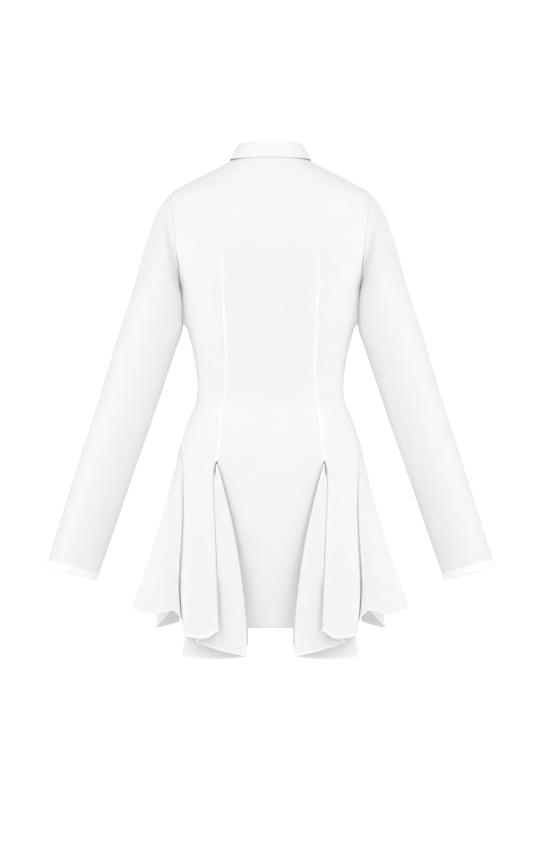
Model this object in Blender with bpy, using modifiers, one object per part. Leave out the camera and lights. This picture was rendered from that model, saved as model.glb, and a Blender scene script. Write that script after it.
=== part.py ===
"""A white shirt dress, filled out as it is worn, with nothing inside it.

Every piece of cloth is a thin wall on the garment's own form: a body form through level slices, cut
into a back and two fronts, sleeves lofted from the armholes through slanting rings, a turned-down collar
on its stand, and six godets that fan out from points at the hips. The origin is the middle of the neck
opening at the height of the shoulder neck points. The front faces -Y, and the wearer's left is +X.
Sizes are in millimetres, and MM brings them to metres. A drop is a distance below the origin.
"""

from collections import namedtuple
import math

import bmesh
import bpy
import numpy as np

MM = 0.001
BACK, FRONT = 1, -1
LEFT, RIGHT = 1, -1

# Cloth and seams
WALL = 1.2
SEAM_GAP = 0.3
GODET_WALL = 1.2

# Lengths of the garment, as drops
CENTRE_HEM = 771
SIDE_PANEL_HEM = 782
SIDE_PANEL_HEM_DIP = 4
GODET_POINT = 500
SIDE_GODET_POINT = 466
SHOULDER_DROP = 53
UNDERARM_DROP = 215

# Neckline: the opening that the collar stand is sewn to
NECK_HALF_WIDTH = 64
NECK_BACK = 56
NECK_FRONT = 76
NECK_DROP_BACK = -3
NECK_DROP_FRONT = 62
NECK_BLEND = 70
ROW_BLEND = 150

# The body form: one row for each level slice, a superellipse with its own depth behind and in front
Slice = namedtuple("Slice", "drop half_width back front squareness")
SLICES = (
    Slice(0, 64, 56, 56, 2.0),
    Slice(17, 97, 66, 62, 2.05),
    Slice(36, 134, 73, 68, 2.15),
    Slice(53, 162, 79, 75, 2.3),
    Slice(80, 170, 87, 88, 2.4),
    Slice(110, 172, 93, 102, 2.4),
    Slice(150, 169, 96, 120, 2.4),
    Slice(185, 160, 94, 131, 2.35),
    Slice(215, 150.5, 90, 135, 2.3),
    Slice(240, 145.5, 87, 134, 2.25),
    Slice(279, 138.5, 81, 125, 2.2),
    Slice(320, 128.5, 75, 113, 2.2),
    Slice(350, 123.5, 71, 106, 2.2),
    Slice(382, 121.5, 69, 102, 2.2),
    Slice(405, 125, 71, 102, 2.2),
    Slice(430, 136, 78, 103, 2.2),
    Slice(448, 142.5, 84, 104, 2.2),
    Slice(466, 148, 89, 105, 2.2),
    Slice(500, 150, 97, 106, 2.2),
    Slice(560, 152, 103, 107, 2.2),
    Slice(640, 156, 105, 107, 2.25),
    Slice(785, 160, 104, 106, 2.3),
    Slice(840, 160, 104, 106, 2.3),
)

# The armhole's edge, as an angle from the centre line of the back and of the front
Armhole = namedtuple("Armhole", "drop back_angle front_angle")
ARMHOLE = (
    Armhole(53, 90, 90),
    Armhole(66, 84, 83),
    Armhole(80, 79, 77),
    Armhole(110, 73.5, 69),
    Armhole(150, 66, 61),
    Armhole(180, 68, 62),
    Armhole(200, 76, 72),
    Armhole(215, 90, 90),
)

# The dart line's distance from the centre line
Dart = namedtuple("Dart", "drop across")
DARTS = (
    Dart(150, 82.7),
    Dart(186, 83.5),
    Dart(224, 80),
    Dart(277, 77),
    Dart(345, 74),
    Dart(385, 75),
    Dart(412, 80),
    Dart(452, 83),
    Dart(500, 88),
)
DART_TOP = 150
DART_RIDGE = 1.0
DART_RIDGE_HALF = 1.6
NECK_LANE_ANGLE = 27

# Below the godet point the panel's slit edges part
Slit = namedtuple("Slit", "drop centre_edge side_edge")
SLIT = (
    Slit(500, 86.4, 89.6),
    Slit(512, 86.4, 92.0),
    Slit(530, 86, 93),
    Slit(571, 84.5, 92),
    Slit(622, 83, 89.5),
    Slit(684, 81.5, 87),
    Slit(740, 80, 84.5),
    Slit(786, 79, 82),
)

# The side panel's outer edge below the side godet's point, and how far the panel stands off the body form
SideEdge = namedtuple("SideEdge", "drop across")
SIDE_EDGE = (
    SideEdge(466, 148),
    SideEdge(500, 145.5),
    SideEdge(540, 143.5),
    SideEdge(578, 142.5),
    SideEdge(634, 143.5),
    SideEdge(681, 146),
    SideEdge(727, 147),
    SideEdge(760, 144.5),
    SideEdge(786, 141),
)
Flare = namedtuple("Flare", "drop off arch")
FLARE = (
    Flare(500, 0, 0),
    Flare(540, 4, 1),
    Flare(600, 13, 3),
    Flare(660, 23, 5),
    Flare(720, 33, 7),
    Flare(786, 43, 8),
)

# Rows of the body panels: drops at the side edge, down to the godet point, then shares of the way to the hem
BODY_DROPS = (0, 18, 36, 53, 78, 110, 145, 175, 198, 215, 250, 290, 330, 365, 395, 430, 466, 480, 500)
HEM_SHARES = (0.05, 0.14, 0.33, 0.56, 0.79, 1.0)
CENTRE_STEPS = 4
SIDE_STEPS = 6

# Front edges: the right front laps over the left front
FRONT_LAP = 14
UNDER_LAP = 13
LAP_INNER = 17
UNDER_STEP = 1.6
UNDER_RAMP = (17, 42)
BAND_HALF = 15
BAND_TOP = 2

# Collar
STAND_HEIGHT_BACK = 22.5
STAND_HEIGHT_FRONT = 24.7
STAND_GAP = 1.0
FOLD_HALF_WIDTH = 50
FOLD_BACK = 48
FOLD_FRONT = 66
STAND_LAP_ANGLE = 8
STAND_LAP_STEP = 0.85
STAND_LAP_TURN = (150, 176)
STAND_COLUMNS = 34
STAND_ROWS = 3
FALL_END_ANGLE = 5
FALL_ROLL = 2.8
Roll = namedtuple("Roll", "out up")
ROLL_TOP = Roll(0.35, 0.65)
ROLL_OUTER = Roll(1.0, 0.4)
FALL_SWELL = 6
FALL_ROWS = 6
LEAF_HALF_WIDTH = 67
LEAF_BACK = 61
LEAF_BACK_RISE = 0.5
LEAF_SIDE_RISE = 2
POINT_ACROSS = 44
POINT_DROP = 104
POINT_SWEEP = 1.25
LEAF_CLEAR = 4
LEAF_ROUND_SHARE = 0.45
LEAF_ON_CHEST = (0.1, 0.6)

# Sleeves: slanting rings, each by its outer point, its tilt from level, its width and its depth
SleeveRing = namedtuple("SleeveRing", "outer drop tilt width middle half_depth")
SLEEVE_RINGS = (
    SleeveRing(171, 57, 82.9, 168.3, -5, 49),
    SleeveRing(181, 71, 78.8, 163.1, -5, 53),
    SleeveRing(191, 90, 74, 155, -5, 55),
    SleeveRing(201, 118, 67.4, 140.8, -5, 57),
    SleeveRing(212, 154, 57.9, 123.9, -5, 58),
    SleeveRing(228, 213, 37, 103, -5, 57),
    SleeveRing(251, 283, 20, 98.5, -6, 55),
    SleeveRing(270, 345, 17.7, 97, -8, 53),
    SleeveRing(292, 416, 17.7, 95, -12, 51),
    SleeveRing(316, 490, 17.7, 93, -17, 48),
    SleeveRing(337, 556, 17.2, 91.5, -23, 45),
    SleeveRing(357, 618, 16.5, 90, -29, 42),
    SleeveRing(375, 675, 15.5, 88, -35, 40),
)
SLEEVE_AROUND = 22
SLEEVE_SET_OUT = 1.7

# Back and front godets: where the cloth folds, measured at the hem
Fold = namedtuple("Fold", "across depth drop")
FLUTE_TIP = Fold(38, 114, 815)
BEHIND_PANEL = Fold(121, 122, 793)
INNER_FOLD = Fold(141, 78, 820)
FLUTE_EASE = 1.85
FLUTE_LIFT = (4, 0.7)
FLUTE_ROUND = (1.1, 2.4)
BEHIND_ROUND = 2.6
BEHIND_DIP = 3.2
INNER_ROUND = 4.0
OVER_LIFT = 4.4
GODET_TUCKED = (0.5, 0.95)
GODET_CURLED = (0.2, 0.75)
GODET_SOFTEN = (0.7, 3.6)
GODET_SHARES = (0.03, 0.08, 0.15, 0.25, 0.38, 0.53, 0.7, 0.86, 1.0)
GODET_COLUMNS = (1, 3, 2, 5, 2, 5, 2, 4, 1)

# Side godets: half of the folds, from the back seam to the middle, at the hem
SIDE_TUCK = Fold(129, 92, 770)
SIDE_CREASE = Fold(160, 88, 742)
SIDE_SWELL = Fold(196, 84, 751)
SIDE_TIP = Fold(229, 47, 742)
SIDE_RETURN = Fold(165, 26, 748)
SIDE_MIDDLE = Fold(193, 0, 777)
SIDE_GODET_SHARES = (0.05, 0.12, 0.24, 0.38, 0.56, 0.78, 1.0)
SIDE_SEAM_GAP = 2.2
SIDE_DIP = (0.6, 2.4)
SIDE_TUCK_ROUND = 2.4
SIDE_TIP_ROUND = 4.5
SIDE_RETURN_ROUND = 3.2
SIDE_BOW = 5
SIDE_TUCKED = (0.3, 0.8)
SIDE_FOLDED = (0.12, 0.5)
SIDE_SOFTEN = (0.8, 4.2)
SIDE_GODET_COLUMNS = (1, 1, 1, 2, 2, 3, 2, 3, 2, 2)

# Buttons
BUTTON_RADIUS = 5.75
BUTTON_THICKNESS = 2.2
BUTTON_WELL = 0.5
BUTTON_STEPS = 12
FIRST_BUTTON_DROP = 118
BUTTON_SPACING = 78
BAND_BUTTONS = 8


def smooth_curve(stations, values):
    """A smooth function through a few rising stations and the value at each."""
    x, y = np.array(stations, float), np.array(values, float)
    slope = np.gradient(y, x)

    def at(position):
        p = min(max(position, x[0]), x[-1])
        i = min(int(np.searchsorted(x, p, side="right")) - 1, len(x) - 2)
        step = x[i + 1] - x[i]
        f = (p - x[i]) / step
        start = y[i] * (1 + 2 * f) * (1 - f) ** 2 + slope[i] * step * f * (1 - f) ** 2
        end = y[i + 1] * f * f * (3 - 2 * f) + slope[i + 1] * step * f * f * (f - 1)
        return start + end

    return at


def column_of(table, name):
    """One named column of a table of drops, as a smooth function of the drop."""
    return smooth_curve([row.drop for row in table], [getattr(row, name) for row in table])


half_width_at = column_of(SLICES, "half_width")
depth_at = {BACK: column_of(SLICES, "back"), FRONT: column_of(SLICES, "front")}
squareness_at = column_of(SLICES, "squareness")
armhole_at = {BACK: column_of(ARMHOLE, "back_angle"), FRONT: column_of(ARMHOLE, "front_angle")}
dart_at = column_of(DARTS, "across")
centre_edge_at = column_of(SLIT, "centre_edge")
slit_side_edge_at = column_of(SLIT, "side_edge")
side_edge_at = column_of(SIDE_EDGE, "across")
flare_at = column_of(FLARE, "off")
arch_at = column_of(FLARE, "arch")


def ease(share):
    """0 to 1 with a soft start and end."""
    f = min(max(share, 0.0), 1.0)
    return f * f * (3 - 2 * f)


def between(low, high, value):
    """The share of the way that a value has gone from low to high, eased."""
    return ease((value - low) / (high - low))


def mix(a, b, share):
    return a + (b - a) * share


def vector(x, y, z):
    return np.array((x, y, z), float)


# The body form

def slice_point(face, angle, drop):
    """A point of the body form, at an angle from the middle of the back or of the front."""
    power = 2 / squareness_at(drop)
    s, c = math.sin(math.radians(angle)), max(math.cos(math.radians(angle)), 0.0)
    across = half_width_at(drop) * math.copysign(abs(s) ** power, s)
    return vector(across, face * depth_at[face](drop) * c**power, -drop)


def angle_of(across, drop):
    """The angle at which the body form is this far from the centre line."""
    share = min(abs(across) / half_width_at(drop), 1.0)
    return math.copysign(math.degrees(math.asin(share ** (squareness_at(drop) / 2))), across)


def neck_drop(face, angle):
    """How far below the origin the neckline runs."""
    if face == BACK:
        return NECK_DROP_BACK * math.cos(math.radians(angle)) ** 2
    share = 1 - min(abs(angle), 90) / 90
    return NECK_DROP_FRONT * (1 - math.cos(math.pi * share)) / 2


def neck_point(face, angle):
    depth = NECK_BACK if face == BACK else NECK_FRONT
    turn = math.radians(angle)
    return vector(
        NECK_HALF_WIDTH * math.sin(turn), face * depth * math.cos(turn), -neck_drop(face, angle)
    )


def form_point(face, angle, drop, top_angle=None):
    """The body form, drawn in to the neckline near the top."""
    point = slice_point(face, angle, drop)
    top = neck_drop(face, angle if top_angle is None else top_angle)
    keep = 1 - between(0, NECK_BLEND, drop - top)
    if keep > 0:
        at_neck = angle if top_angle is None else top_angle
        point = point + (neck_point(face, at_neck) - slice_point(face, at_neck, top)) * keep
    return point


def side_angle(face, drop):
    """The angle of the panel's outer edge: shoulder seam, armhole, side seam, then the side godet's edge."""
    if SHOULDER_DROP < drop < UNDERARM_DROP:
        return armhole_at[face](drop)
    if drop > SIDE_GODET_POINT:
        return angle_of(side_edge_at(drop), drop)
    return 90.0


def dart_angle(drop, off=0.0):
    """The dart line's angle, and above the dart the line that carries it on to the neckline."""
    if drop >= DART_TOP:
        return angle_of(dart_at(drop) + off, drop)
    at_top = angle_of(dart_at(DART_TOP) + off, DART_TOP)
    start = NECK_LANE_ANGLE + 2 * off
    return mix(start, at_top, between(0, DART_TOP, drop))


def ridge_height(drop):
    return DART_RIDGE * between(DART_TOP, DART_TOP + 30, drop)


def lane_angle(face, zone, share, drop):
    """The angle of one lane of a panel's grid."""
    if zone == "ridge":
        return dart_angle(drop)
    if zone == "centre":
        inner = centre_edge_at(drop) if drop > GODET_POINT else None
        edge = dart_angle(drop, -DART_RIDGE_HALF) if inner is None else angle_of(inner, drop)
        return edge * share
    outer = slit_side_edge_at(drop) if drop > GODET_POINT else None
    edge = dart_angle(drop, DART_RIDGE_HALF) if outer is None else angle_of(outer, drop)
    return mix(edge, side_angle(face, drop), share)


def hem_drop(zone, share):
    if zone == "side":
        return SIDE_PANEL_HEM + SIDE_PANEL_HEM_DIP * 4 * share * (1 - share)
    return CENTRE_HEM


def panel_point(face, zone, share, drop):
    """A point on the outer face of the body cloth on the wearer's left, without the lap of the fronts."""
    angle = lane_angle(face, zone, share, drop)
    if drop >= ROW_BLEND:
        point = slice_point(face, angle, drop)
    else:
        top_angle = lane_angle(face, zone, share, 0)
        lower = drop + neck_drop(face, top_angle) * (1 - drop / ROW_BLEND)
        point = form_point(face, angle, lower, top_angle)
    if zone == "ridge":
        outward = vector(math.sin(math.radians(angle)), face * math.cos(math.radians(angle)), 0)
        point = point + outward * ridge_height(drop)
    if zone == "side" and drop > GODET_POINT:
        off = flare_at(drop) + arch_at(drop) * 4 * share * (1 - share)
        point = point + vector(0, face * off, 0)
    return point


def row_drop(zone, share, row):
    """The drop of a grid row: level down to the godet point, then in shares to each panel's own hem."""
    if row < len(BODY_DROPS):
        return BODY_DROPS[row]
    return mix(GODET_POINT, hem_drop(zone, share), HEM_SHARES[row - len(BODY_DROPS)])


BODY_ROWS = len(BODY_DROPS) + len(HEM_SHARES) - 1


# Making cloth

def finish_of(name, colour, roughness):
    material = bpy.data.materials.new(name)
    material.use_nodes = True
    shader = material.node_tree.nodes["Principled BSDF"]
    shader.inputs["Base Color"].default_value = (*colour, 1.0)
    shader.inputs["Roughness"].default_value = roughness
    shader.inputs["Metallic"].default_value = 0.0
    return material


def cloth(name, columns, rows, place, finish, wall=WALL, offset=-1.0, turned=False, tube=False):
    """A wall of cloth: a grid placed point by point by a formula, then thickened. None leaves a point out."""
    sheet = bmesh.new()
    bmesh.ops.create_grid(sheet, x_segments=columns, y_segments=rows, size=0.5)
    left_out = []
    for vertex in sheet.verts:
        column = round((vertex.co.x + 0.5) * columns)
        row = round((0.5 - vertex.co.y) * rows)
        point = place(column, row)
        if point is None:
            left_out.append(vertex)
        else:
            vertex.co = point * MM
    bmesh.ops.delete(sheet, geom=left_out, context="VERTS")
    if tube:
        bmesh.ops.remove_doubles(sheet, verts=sheet.verts[:], dist=0.00001)
    if turned:
        bmesh.ops.reverse_faces(sheet, faces=sheet.faces[:])
    mesh = bpy.data.meshes.new(name)
    sheet.to_mesh(mesh)
    sheet.free()
    mesh.shade_smooth()
    mesh.materials.append(finish)
    piece = bpy.data.objects.new(name, mesh)
    dress.objects.link(piece)
    thickness = piece.modifiers.new("wall", "SOLIDIFY")
    thickness.thickness = wall * MM
    thickness.offset = offset
    return piece


def mirrored(point, side):
    return None if point is None else vector(point[0] * side, point[1], point[2])


# The back, in one piece with its darts and slits

def half_lanes():
    """The lanes of half a panel, from the centre line out to the side."""
    lanes = [("centre", step / CENTRE_STEPS) for step in range(1, CENTRE_STEPS + 1)]
    lanes.append(("ridge", 0.0))
    lanes += [("side", step / SIDE_STEPS) for step in range(SIDE_STEPS + 1)]
    return lanes


def make_back():
    half = half_lanes()
    lanes = [(LEFT, *lane) for lane in reversed(half)] + [(LEFT, "centre", 0.0)]
    lanes += [(RIGHT, *lane) for lane in half]

    def place(column, row):
        side, zone, share = lanes[column]
        drop = row_drop(zone, share, row)
        if zone == "ridge" and drop > GODET_POINT:
            return None
        point = panel_point(BACK, zone, share, drop)
        return mirrored(inset_at_seams(point, zone, share, drop, BACK), side)

    cloth("back", len(lanes) - 1, BODY_ROWS, place, white_cloth)


def inset_at_seams(point, zone, share, drop, face):
    """Half of the seam's gap is taken off the panel along its shoulder and side seams."""
    if zone == "side" and share == 1.0:
        if drop <= SHOULDER_DROP:
            return point + vector(0, face * SEAM_GAP, 0)
        if UNDERARM_DROP <= drop <= SIDE_GODET_POINT:
            return point + vector(0, face * SEAM_GAP, 0)
    return point


# The fronts and the button band

def lap_angle(across, drop):
    """Where a front lies this far across near its centre line: its angle, its neck angle and its drop."""
    top_angle = math.degrees(math.asin(across / NECK_HALF_WIDTH))
    if drop >= ROW_BLEND:
        return angle_of(across, drop), top_angle, drop
    lower = drop + neck_drop(FRONT, top_angle) * (1 - drop / ROW_BLEND)
    low, high = -30.0, 30.0
    for _ in range(24):
        middle = (low + high) / 2
        if form_point(FRONT, middle, lower, top_angle)[0] < across:
            low = middle
        else:
            high = middle
    return middle, top_angle, lower


def lap_point(across, drop):
    """A point of the front near the centre line, at a distance across it, toward the wearer's own side."""
    angle, top_angle, lower = lap_angle(across, drop)
    if drop >= ROW_BLEND:
        return slice_point(FRONT, angle, drop)
    return form_point(FRONT, angle, lower, top_angle)


def front_centre_point(share, lap, drop):
    """A point between the lap and the dart line of a front."""
    start, start_top, _ = lap_angle(lap, drop)
    angle = mix(start, lane_angle(FRONT, "centre", 1.0, drop), share)
    if drop >= ROW_BLEND:
        return slice_point(FRONT, angle, drop)
    top_angle = mix(start_top, lane_angle(FRONT, "centre", 1.0, 0), share)
    lower = drop + neck_drop(FRONT, top_angle) * (1 - drop / ROW_BLEND)
    return form_point(FRONT, angle, lower, top_angle)


def make_front(name, side, lap, step_in):
    lanes = [("lap", -lap), ("lap", 0), ("lap", LAP_INNER)]
    lanes += [("front", 0.33), ("front", 0.67), ("front", 1.0), ("ridge", 0.0)]
    lanes += [("side", step / SIDE_STEPS) for step in range(SIDE_STEPS + 1)]

    def place(column, row):
        zone, share = lanes[column]
        drop = row_drop(zone, share, row)
        if zone == "ridge" and drop > GODET_POINT:
            return None
        if zone == "lap":
            point = lap_point(share, drop)
        elif zone == "front":
            point = front_centre_point(share, LAP_INNER, drop)
        else:
            point = inset_at_seams(panel_point(FRONT, zone, share, drop), zone, share, drop, FRONT)
        if step_in:
            depth = step_in * (1 - between(*UNDER_RAMP, point[0]))
            point = point + vector(0, depth, 0)
        return mirrored(point, side)

    cloth(name, len(lanes) - 1, BODY_ROWS, place, white_cloth, turned=side == RIGHT)


def band_point(across, drop, lift):
    """A point over the middle of the right front, lifted off its outer face."""
    point = lap_point(across, drop)
    return point + vector(0, -lift, 0)


def make_band():
    columns = (-BAND_HALF, -BAND_HALF / 3, BAND_HALF / 3, BAND_HALF)

    def place(column, row):
        drop = row_drop("centre", 0.0, row)
        if row == 0:
            drop = BAND_TOP
        return band_point(columns[column], drop, SEAM_GAP + WALL)

    cloth("placket", len(columns) - 1, BODY_ROWS, place, white_cloth)


# The collar

def ring_angle(angle):
    """Turns an angle round the whole neck, from the middle of the back, into a face and its own angle."""
    if abs(angle) <= 90:
        return BACK, angle
    return FRONT, math.copysign(180 - abs(angle), angle)


def stand_height(angle):
    return mix(STAND_HEIGHT_FRONT, STAND_HEIGHT_BACK, math.cos(math.radians(angle / 2)) ** 4)


def neckline(angle):
    """A point of the neckline. Past the middle of the front an end runs on over the other side."""
    if abs(angle) <= 180:
        return neck_point(*ring_angle(angle))
    return mirrored(neck_point(*ring_angle(360 - abs(angle))), -math.copysign(1, angle))


def fold_line(angle):
    """The top of the stand, where the collar turns over."""
    turn = math.radians(angle)
    depth = FOLD_BACK if math.cos(turn) >= 0 else FOLD_FRONT
    low = neckline(angle)[2]
    return vector(FOLD_HALF_WIDTH * math.sin(turn), depth * math.cos(turn), low + stand_height(angle))


def make_stand():
    end = 180 + STAND_LAP_ANGLE

    def place(column, row):
        angle = mix(end, -end, column / STAND_COLUMNS)
        low = neckline(angle) + vector(0, 0, STAND_GAP)
        point = mix(fold_line(angle), low, row / STAND_ROWS)
        lap = STAND_LAP_STEP * between(*STAND_LAP_TURN, abs(angle)) * math.copysign(1, angle)
        turn = math.radians(angle)
        return point - vector(math.sin(turn), math.cos(turn), 0) * lap

    cloth("collar_stand", STAND_COLUMNS, STAND_ROWS, place, white_cloth, offset=0.0)


def leaf_edge(angle):
    """The free lower edge of the turned-down leaf: level behind, down to the two points in front."""
    turn = math.radians(angle)
    if abs(angle) <= 90:
        rise = mix(LEAF_SIDE_RISE, LEAF_BACK_RISE, math.cos(turn) ** 2)
        return vector(LEAF_HALF_WIDTH * math.sin(turn), LEAF_BACK * math.cos(turn), rise)
    share = (abs(angle) - 90) / (90 - FALL_END_ANGLE)
    across = mix(LEAF_HALF_WIDTH, POINT_ACROSS, ease(share))
    drop = mix(-LEAF_SIDE_RISE, POINT_DROP, share**POINT_SWEEP)
    surface = slice_point(FRONT, angle_of(across, max(drop, 0)), max(drop, 0))
    round_edge = -LEAF_BACK * math.sin(math.radians(90 * min(share / LEAF_ROUND_SHARE, 1)))
    depth = mix(round_edge, surface[1] - LEAF_CLEAR, between(*LEAF_ON_CHEST, share))
    return vector(math.copysign(across, angle), depth, -drop)


def make_fall():
    end = 180 - FALL_END_ANGLE

    def place(column, row):
        angle = mix(end, -end, column / STAND_COLUMNS)
        turn = math.radians(angle)
        outward = vector(math.sin(turn), math.cos(turn), 0)
        top = fold_line(angle) + vector(0, 0, 2 * SEAM_GAP + WALL / 2)
        if row == 0:
            return top
        if row == 1:
            return top + FALL_ROLL * (outward * ROLL_TOP.out + vector(0, 0, ROLL_TOP.up))
        start = top + FALL_ROLL * (outward * ROLL_OUTER.out + vector(0, 0, ROLL_OUTER.up))
        share = (row - 2) / (FALL_ROWS - 2)
        point = mix(start, leaf_edge(angle), share)
        return point + outward * FALL_SWELL * share * (1 - share)

    cloth("collar_fall", STAND_COLUMNS, FALL_ROWS, place, white_cloth, offset=0.0)


# The sleeves

def armhole_loop(turn):
    """The armhole's edge, from the shoulder point round the back, the underarm and the front."""
    middle = (SHOULDER_DROP + UNDERARM_DROP) / 2
    reach = (UNDERARM_DROP - SHOULDER_DROP) / 2
    drop = middle - reach * math.cos(turn)
    face = BACK if math.sin(turn) >= 0 else FRONT
    return panel_point(face, "side", 1.0, drop)


def sleeve_ring_point(ring, turn):
    tilt = math.radians(ring.tilt)
    outer = vector(ring.outer, ring.middle, -ring.drop)
    inner = outer - vector(math.cos(tilt), 0, math.sin(tilt)) * ring.width
    across = mix(inner, outer, (1 + math.cos(turn)) / 2)
    return across + vector(0, ring.half_depth * math.sin(turn), 0)


def make_sleeve(name, side):
    rows = len(SLEEVE_RINGS)

    def place(column, row):
        turn = 2 * math.pi * (column % SLEEVE_AROUND) / SLEEVE_AROUND
        if row == 0:
            point = armhole_loop(turn) + vector(SLEEVE_SET_OUT, 0, 0)
        else:
            point = sleeve_ring_point(SLEEVE_RINGS[row - 1], turn)
        return mirrored(point, side)

    cloth(name, SLEEVE_AROUND, rows, place, white_cloth, turned=side == LEFT, tube=True)


# The godets

def rounded_run(stations, radius, columns):
    """Points along a run of straight stretches whose corners are rounded, a set number to each stretch."""
    corners = np.array(stations)
    lengths = np.linalg.norm(np.diff(corners, axis=0), axis=1)
    along = np.concatenate(([0.0], np.cumsum(lengths)))
    count = 600
    even = np.linspace(0, along[-1], count)
    fine = np.stack([np.interp(even, along, corners[:, k]) for k in range(3)], axis=1)
    reach = max(1, int(round(radius / along[-1] * count)))
    before = 2 * fine[0] - fine[reach:0:-1]
    after = 2 * fine[-1] - fine[-2 : -reach - 2 : -1]
    padded = np.concatenate((before, fine, after))
    weight = np.hanning(2 * reach + 3)[1:-1]
    weight /= weight.sum()
    soft = np.stack([np.convolve(padded[:, k], weight, mode="valid") for k in range(3)], axis=1)
    places = [0.0]
    for i, steps in enumerate(columns):
        for step in range(1, steps + 1):
            share = step / steps
            if steps > 2:
                share = (1 - math.cos(math.pi * share)) / 2
            places.append(along[i] + share * (along[i + 1] - along[i]))
    return np.stack([np.interp(places, even, soft[:, k]) for k in range(3)], axis=1)


def at_hem(fold, face):
    return vector(fold.across, face * fold.depth, -fold.drop)


def godet_run(face, share, columns):
    """One level of a back or front godet on the wearer's left, from the side panel's edge to the centre's."""
    side_drop = mix(GODET_POINT, hem_drop("side", 0.0), share)
    centre_drop = mix(GODET_POINT, CENTRE_HEM, share)
    near_side = panel_point(face, "side", 0.0, side_drop)
    near_centre = panel_point(face, "centre", 1.0, centre_drop)
    beside = SEAM_GAP + GODET_WALL / 2
    first = near_side + vector(-beside, -face * WALL / 2, 0)
    last = near_centre + vector(beside, -face * WALL / 2, 0)
    hem_first = panel_point(face, "side", 0.0, hem_drop("side", 0.0)) + vector(-beside, 0, 0)
    hem_last = panel_point(face, "centre", 1.0, CENTRE_HEM) + vector(beside, 0, 0)
    depth = vector(0, face, 0)
    tucked = between(*GODET_TUCKED, share)
    curled = between(*GODET_CURLED, share)

    start = dart_at(GODET_POINT)
    tip_across = mix(start, FLUTE_TIP.across, 1 - (1 - share) ** FLUTE_EASE)
    stand_off = FLUTE_TIP.depth - abs(hem_last[1])
    lift, lift_sweep = FLUTE_LIFT
    tip_depth = abs(near_centre[1]) + mix(lift, stand_off, share**lift_sweep)
    tip = vector(tip_across, face * tip_depth, -mix(GODET_POINT, FLUTE_TIP.drop, share))
    tip_round = depth * (FLUTE_ROUND[0] + FLUTE_ROUND[1] * share)

    behind = first + (at_hem(BEHIND_PANEL, face) - hem_first) * share
    behind_round = depth * BEHIND_ROUND * share
    dip = mix(mix(first, tip, 0.05), first - depth * BEHIND_DIP, tucked)
    behind_near = mix(mix(first, tip, 0.2), behind + behind_round, tucked)
    behind_far = mix(mix(first, tip, 0.3), behind - behind_round, tucked)

    over = last + depth * OVER_LIFT * (1 - curled)
    inner = last + (at_hem(INNER_FOLD, face) - hem_last) * share
    inner_round = depth * INNER_ROUND * share
    inner_near = mix(mix(tip, over, 0.5), inner + inner_round, curled)
    inner_far = mix(mix(tip, over, 0.75), inner - inner_round, curled)
    stations = [
        first,
        dip,
        behind_near,
        behind_far,
        tip + tip_round,
        tip - tip_round,
        inner_near,
        inner_far,
        over,
        last,
    ]
    return rounded_run(stations, GODET_SOFTEN[0] + GODET_SOFTEN[1] * share, columns)


def make_godet(name, face, side):
    levels = [godet_run(face, share, GODET_COLUMNS) for share in GODET_SHARES]

    def place(column, row):
        return mirrored(levels[row][column], side)

    columns = sum(GODET_COLUMNS)
    cloth(name, columns, len(levels) - 1, place, white_cloth, wall=GODET_WALL, offset=0.0)


def side_godet_run(share, columns):
    """One level of the side godet on the wearer's left, from the back seam to the front seam."""
    point = vector(half_width_at(SIDE_GODET_POINT), 0, -SIDE_GODET_POINT)
    halves = []
    for face in (BACK, FRONT):
        drop = mix(SIDE_GODET_POINT, SIDE_PANEL_HEM, share)
        edge = panel_point(face, "side", 1.0, drop)
        inboard = panel_point(face, "side", 0.97, drop)
        along = (edge - inboard) * vector(1, 1, 0)
        along /= np.linalg.norm(along)
        outward = vector(along[1], -along[0], 0) * -face
        first = edge + along * SIDE_SEAM_GAP - outward * WALL / 2
        hem_edge = panel_point(face, "side", 1.0, SIDE_PANEL_HEM)
        tucked = between(*SIDE_TUCKED, share)
        folded = between(*SIDE_FOLDED, share)
        depth = vector(0, face, 0)
        dip = first + along * SIDE_DIP[0] - outward * SIDE_DIP[1] * tucked
        tuck = mix(dip, first + (at_hem(SIDE_TUCK, face) - hem_edge) * share, tucked)
        crease = point + (at_hem(SIDE_CREASE, face) - point) * share
        swell = point + (at_hem(SIDE_SWELL, face) - point) * share
        tip = point + (at_hem(SIDE_TIP, face) - point) * share
        bow = math.sin(math.pi * share) * vector(-SIDE_BOW, 0, 0)
        tuck_round = depth * SIDE_TUCK_ROUND * share * tucked
        tip_round = depth * SIDE_TIP_ROUND * share
        return_round = depth * SIDE_RETURN_ROUND * share * folded
        middle_out = tip * vector(1, 0, 1)
        back_in = point + (at_hem(SIDE_RETURN, face) - point) * share
        back_in = mix(mix(middle_out, tip, 0.5), back_in, folded)
        middle = mix(middle_out, point + (at_hem(SIDE_MIDDLE, face) - point) * share, folded)
        halves.append(
            [
                first,
                dip,
                tuck + tuck_round,
                tuck - tuck_round,
                crease + bow,
                swell + bow,
                tip + tip_round + bow,
                tip - tip_round + bow,
                back_in + return_round + bow,
                back_in - return_round + bow,
                middle + bow,
            ]
        )
    stations = halves[0] + halves[1][-2::-1]
    return rounded_run(stations, SIDE_SOFTEN[0] + SIDE_SOFTEN[1] * share, columns)


def make_side_godet(name, side):
    columns = SIDE_GODET_COLUMNS + SIDE_GODET_COLUMNS[::-1]
    levels = [side_godet_run(share, columns) for share in SIDE_GODET_SHARES]

    def place(column, row):
        return mirrored(levels[row][column], side)

    cloth(name, sum(columns), len(levels) - 1, place, white_cloth, wall=GODET_WALL, offset=0.0)


# Buttons

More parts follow.
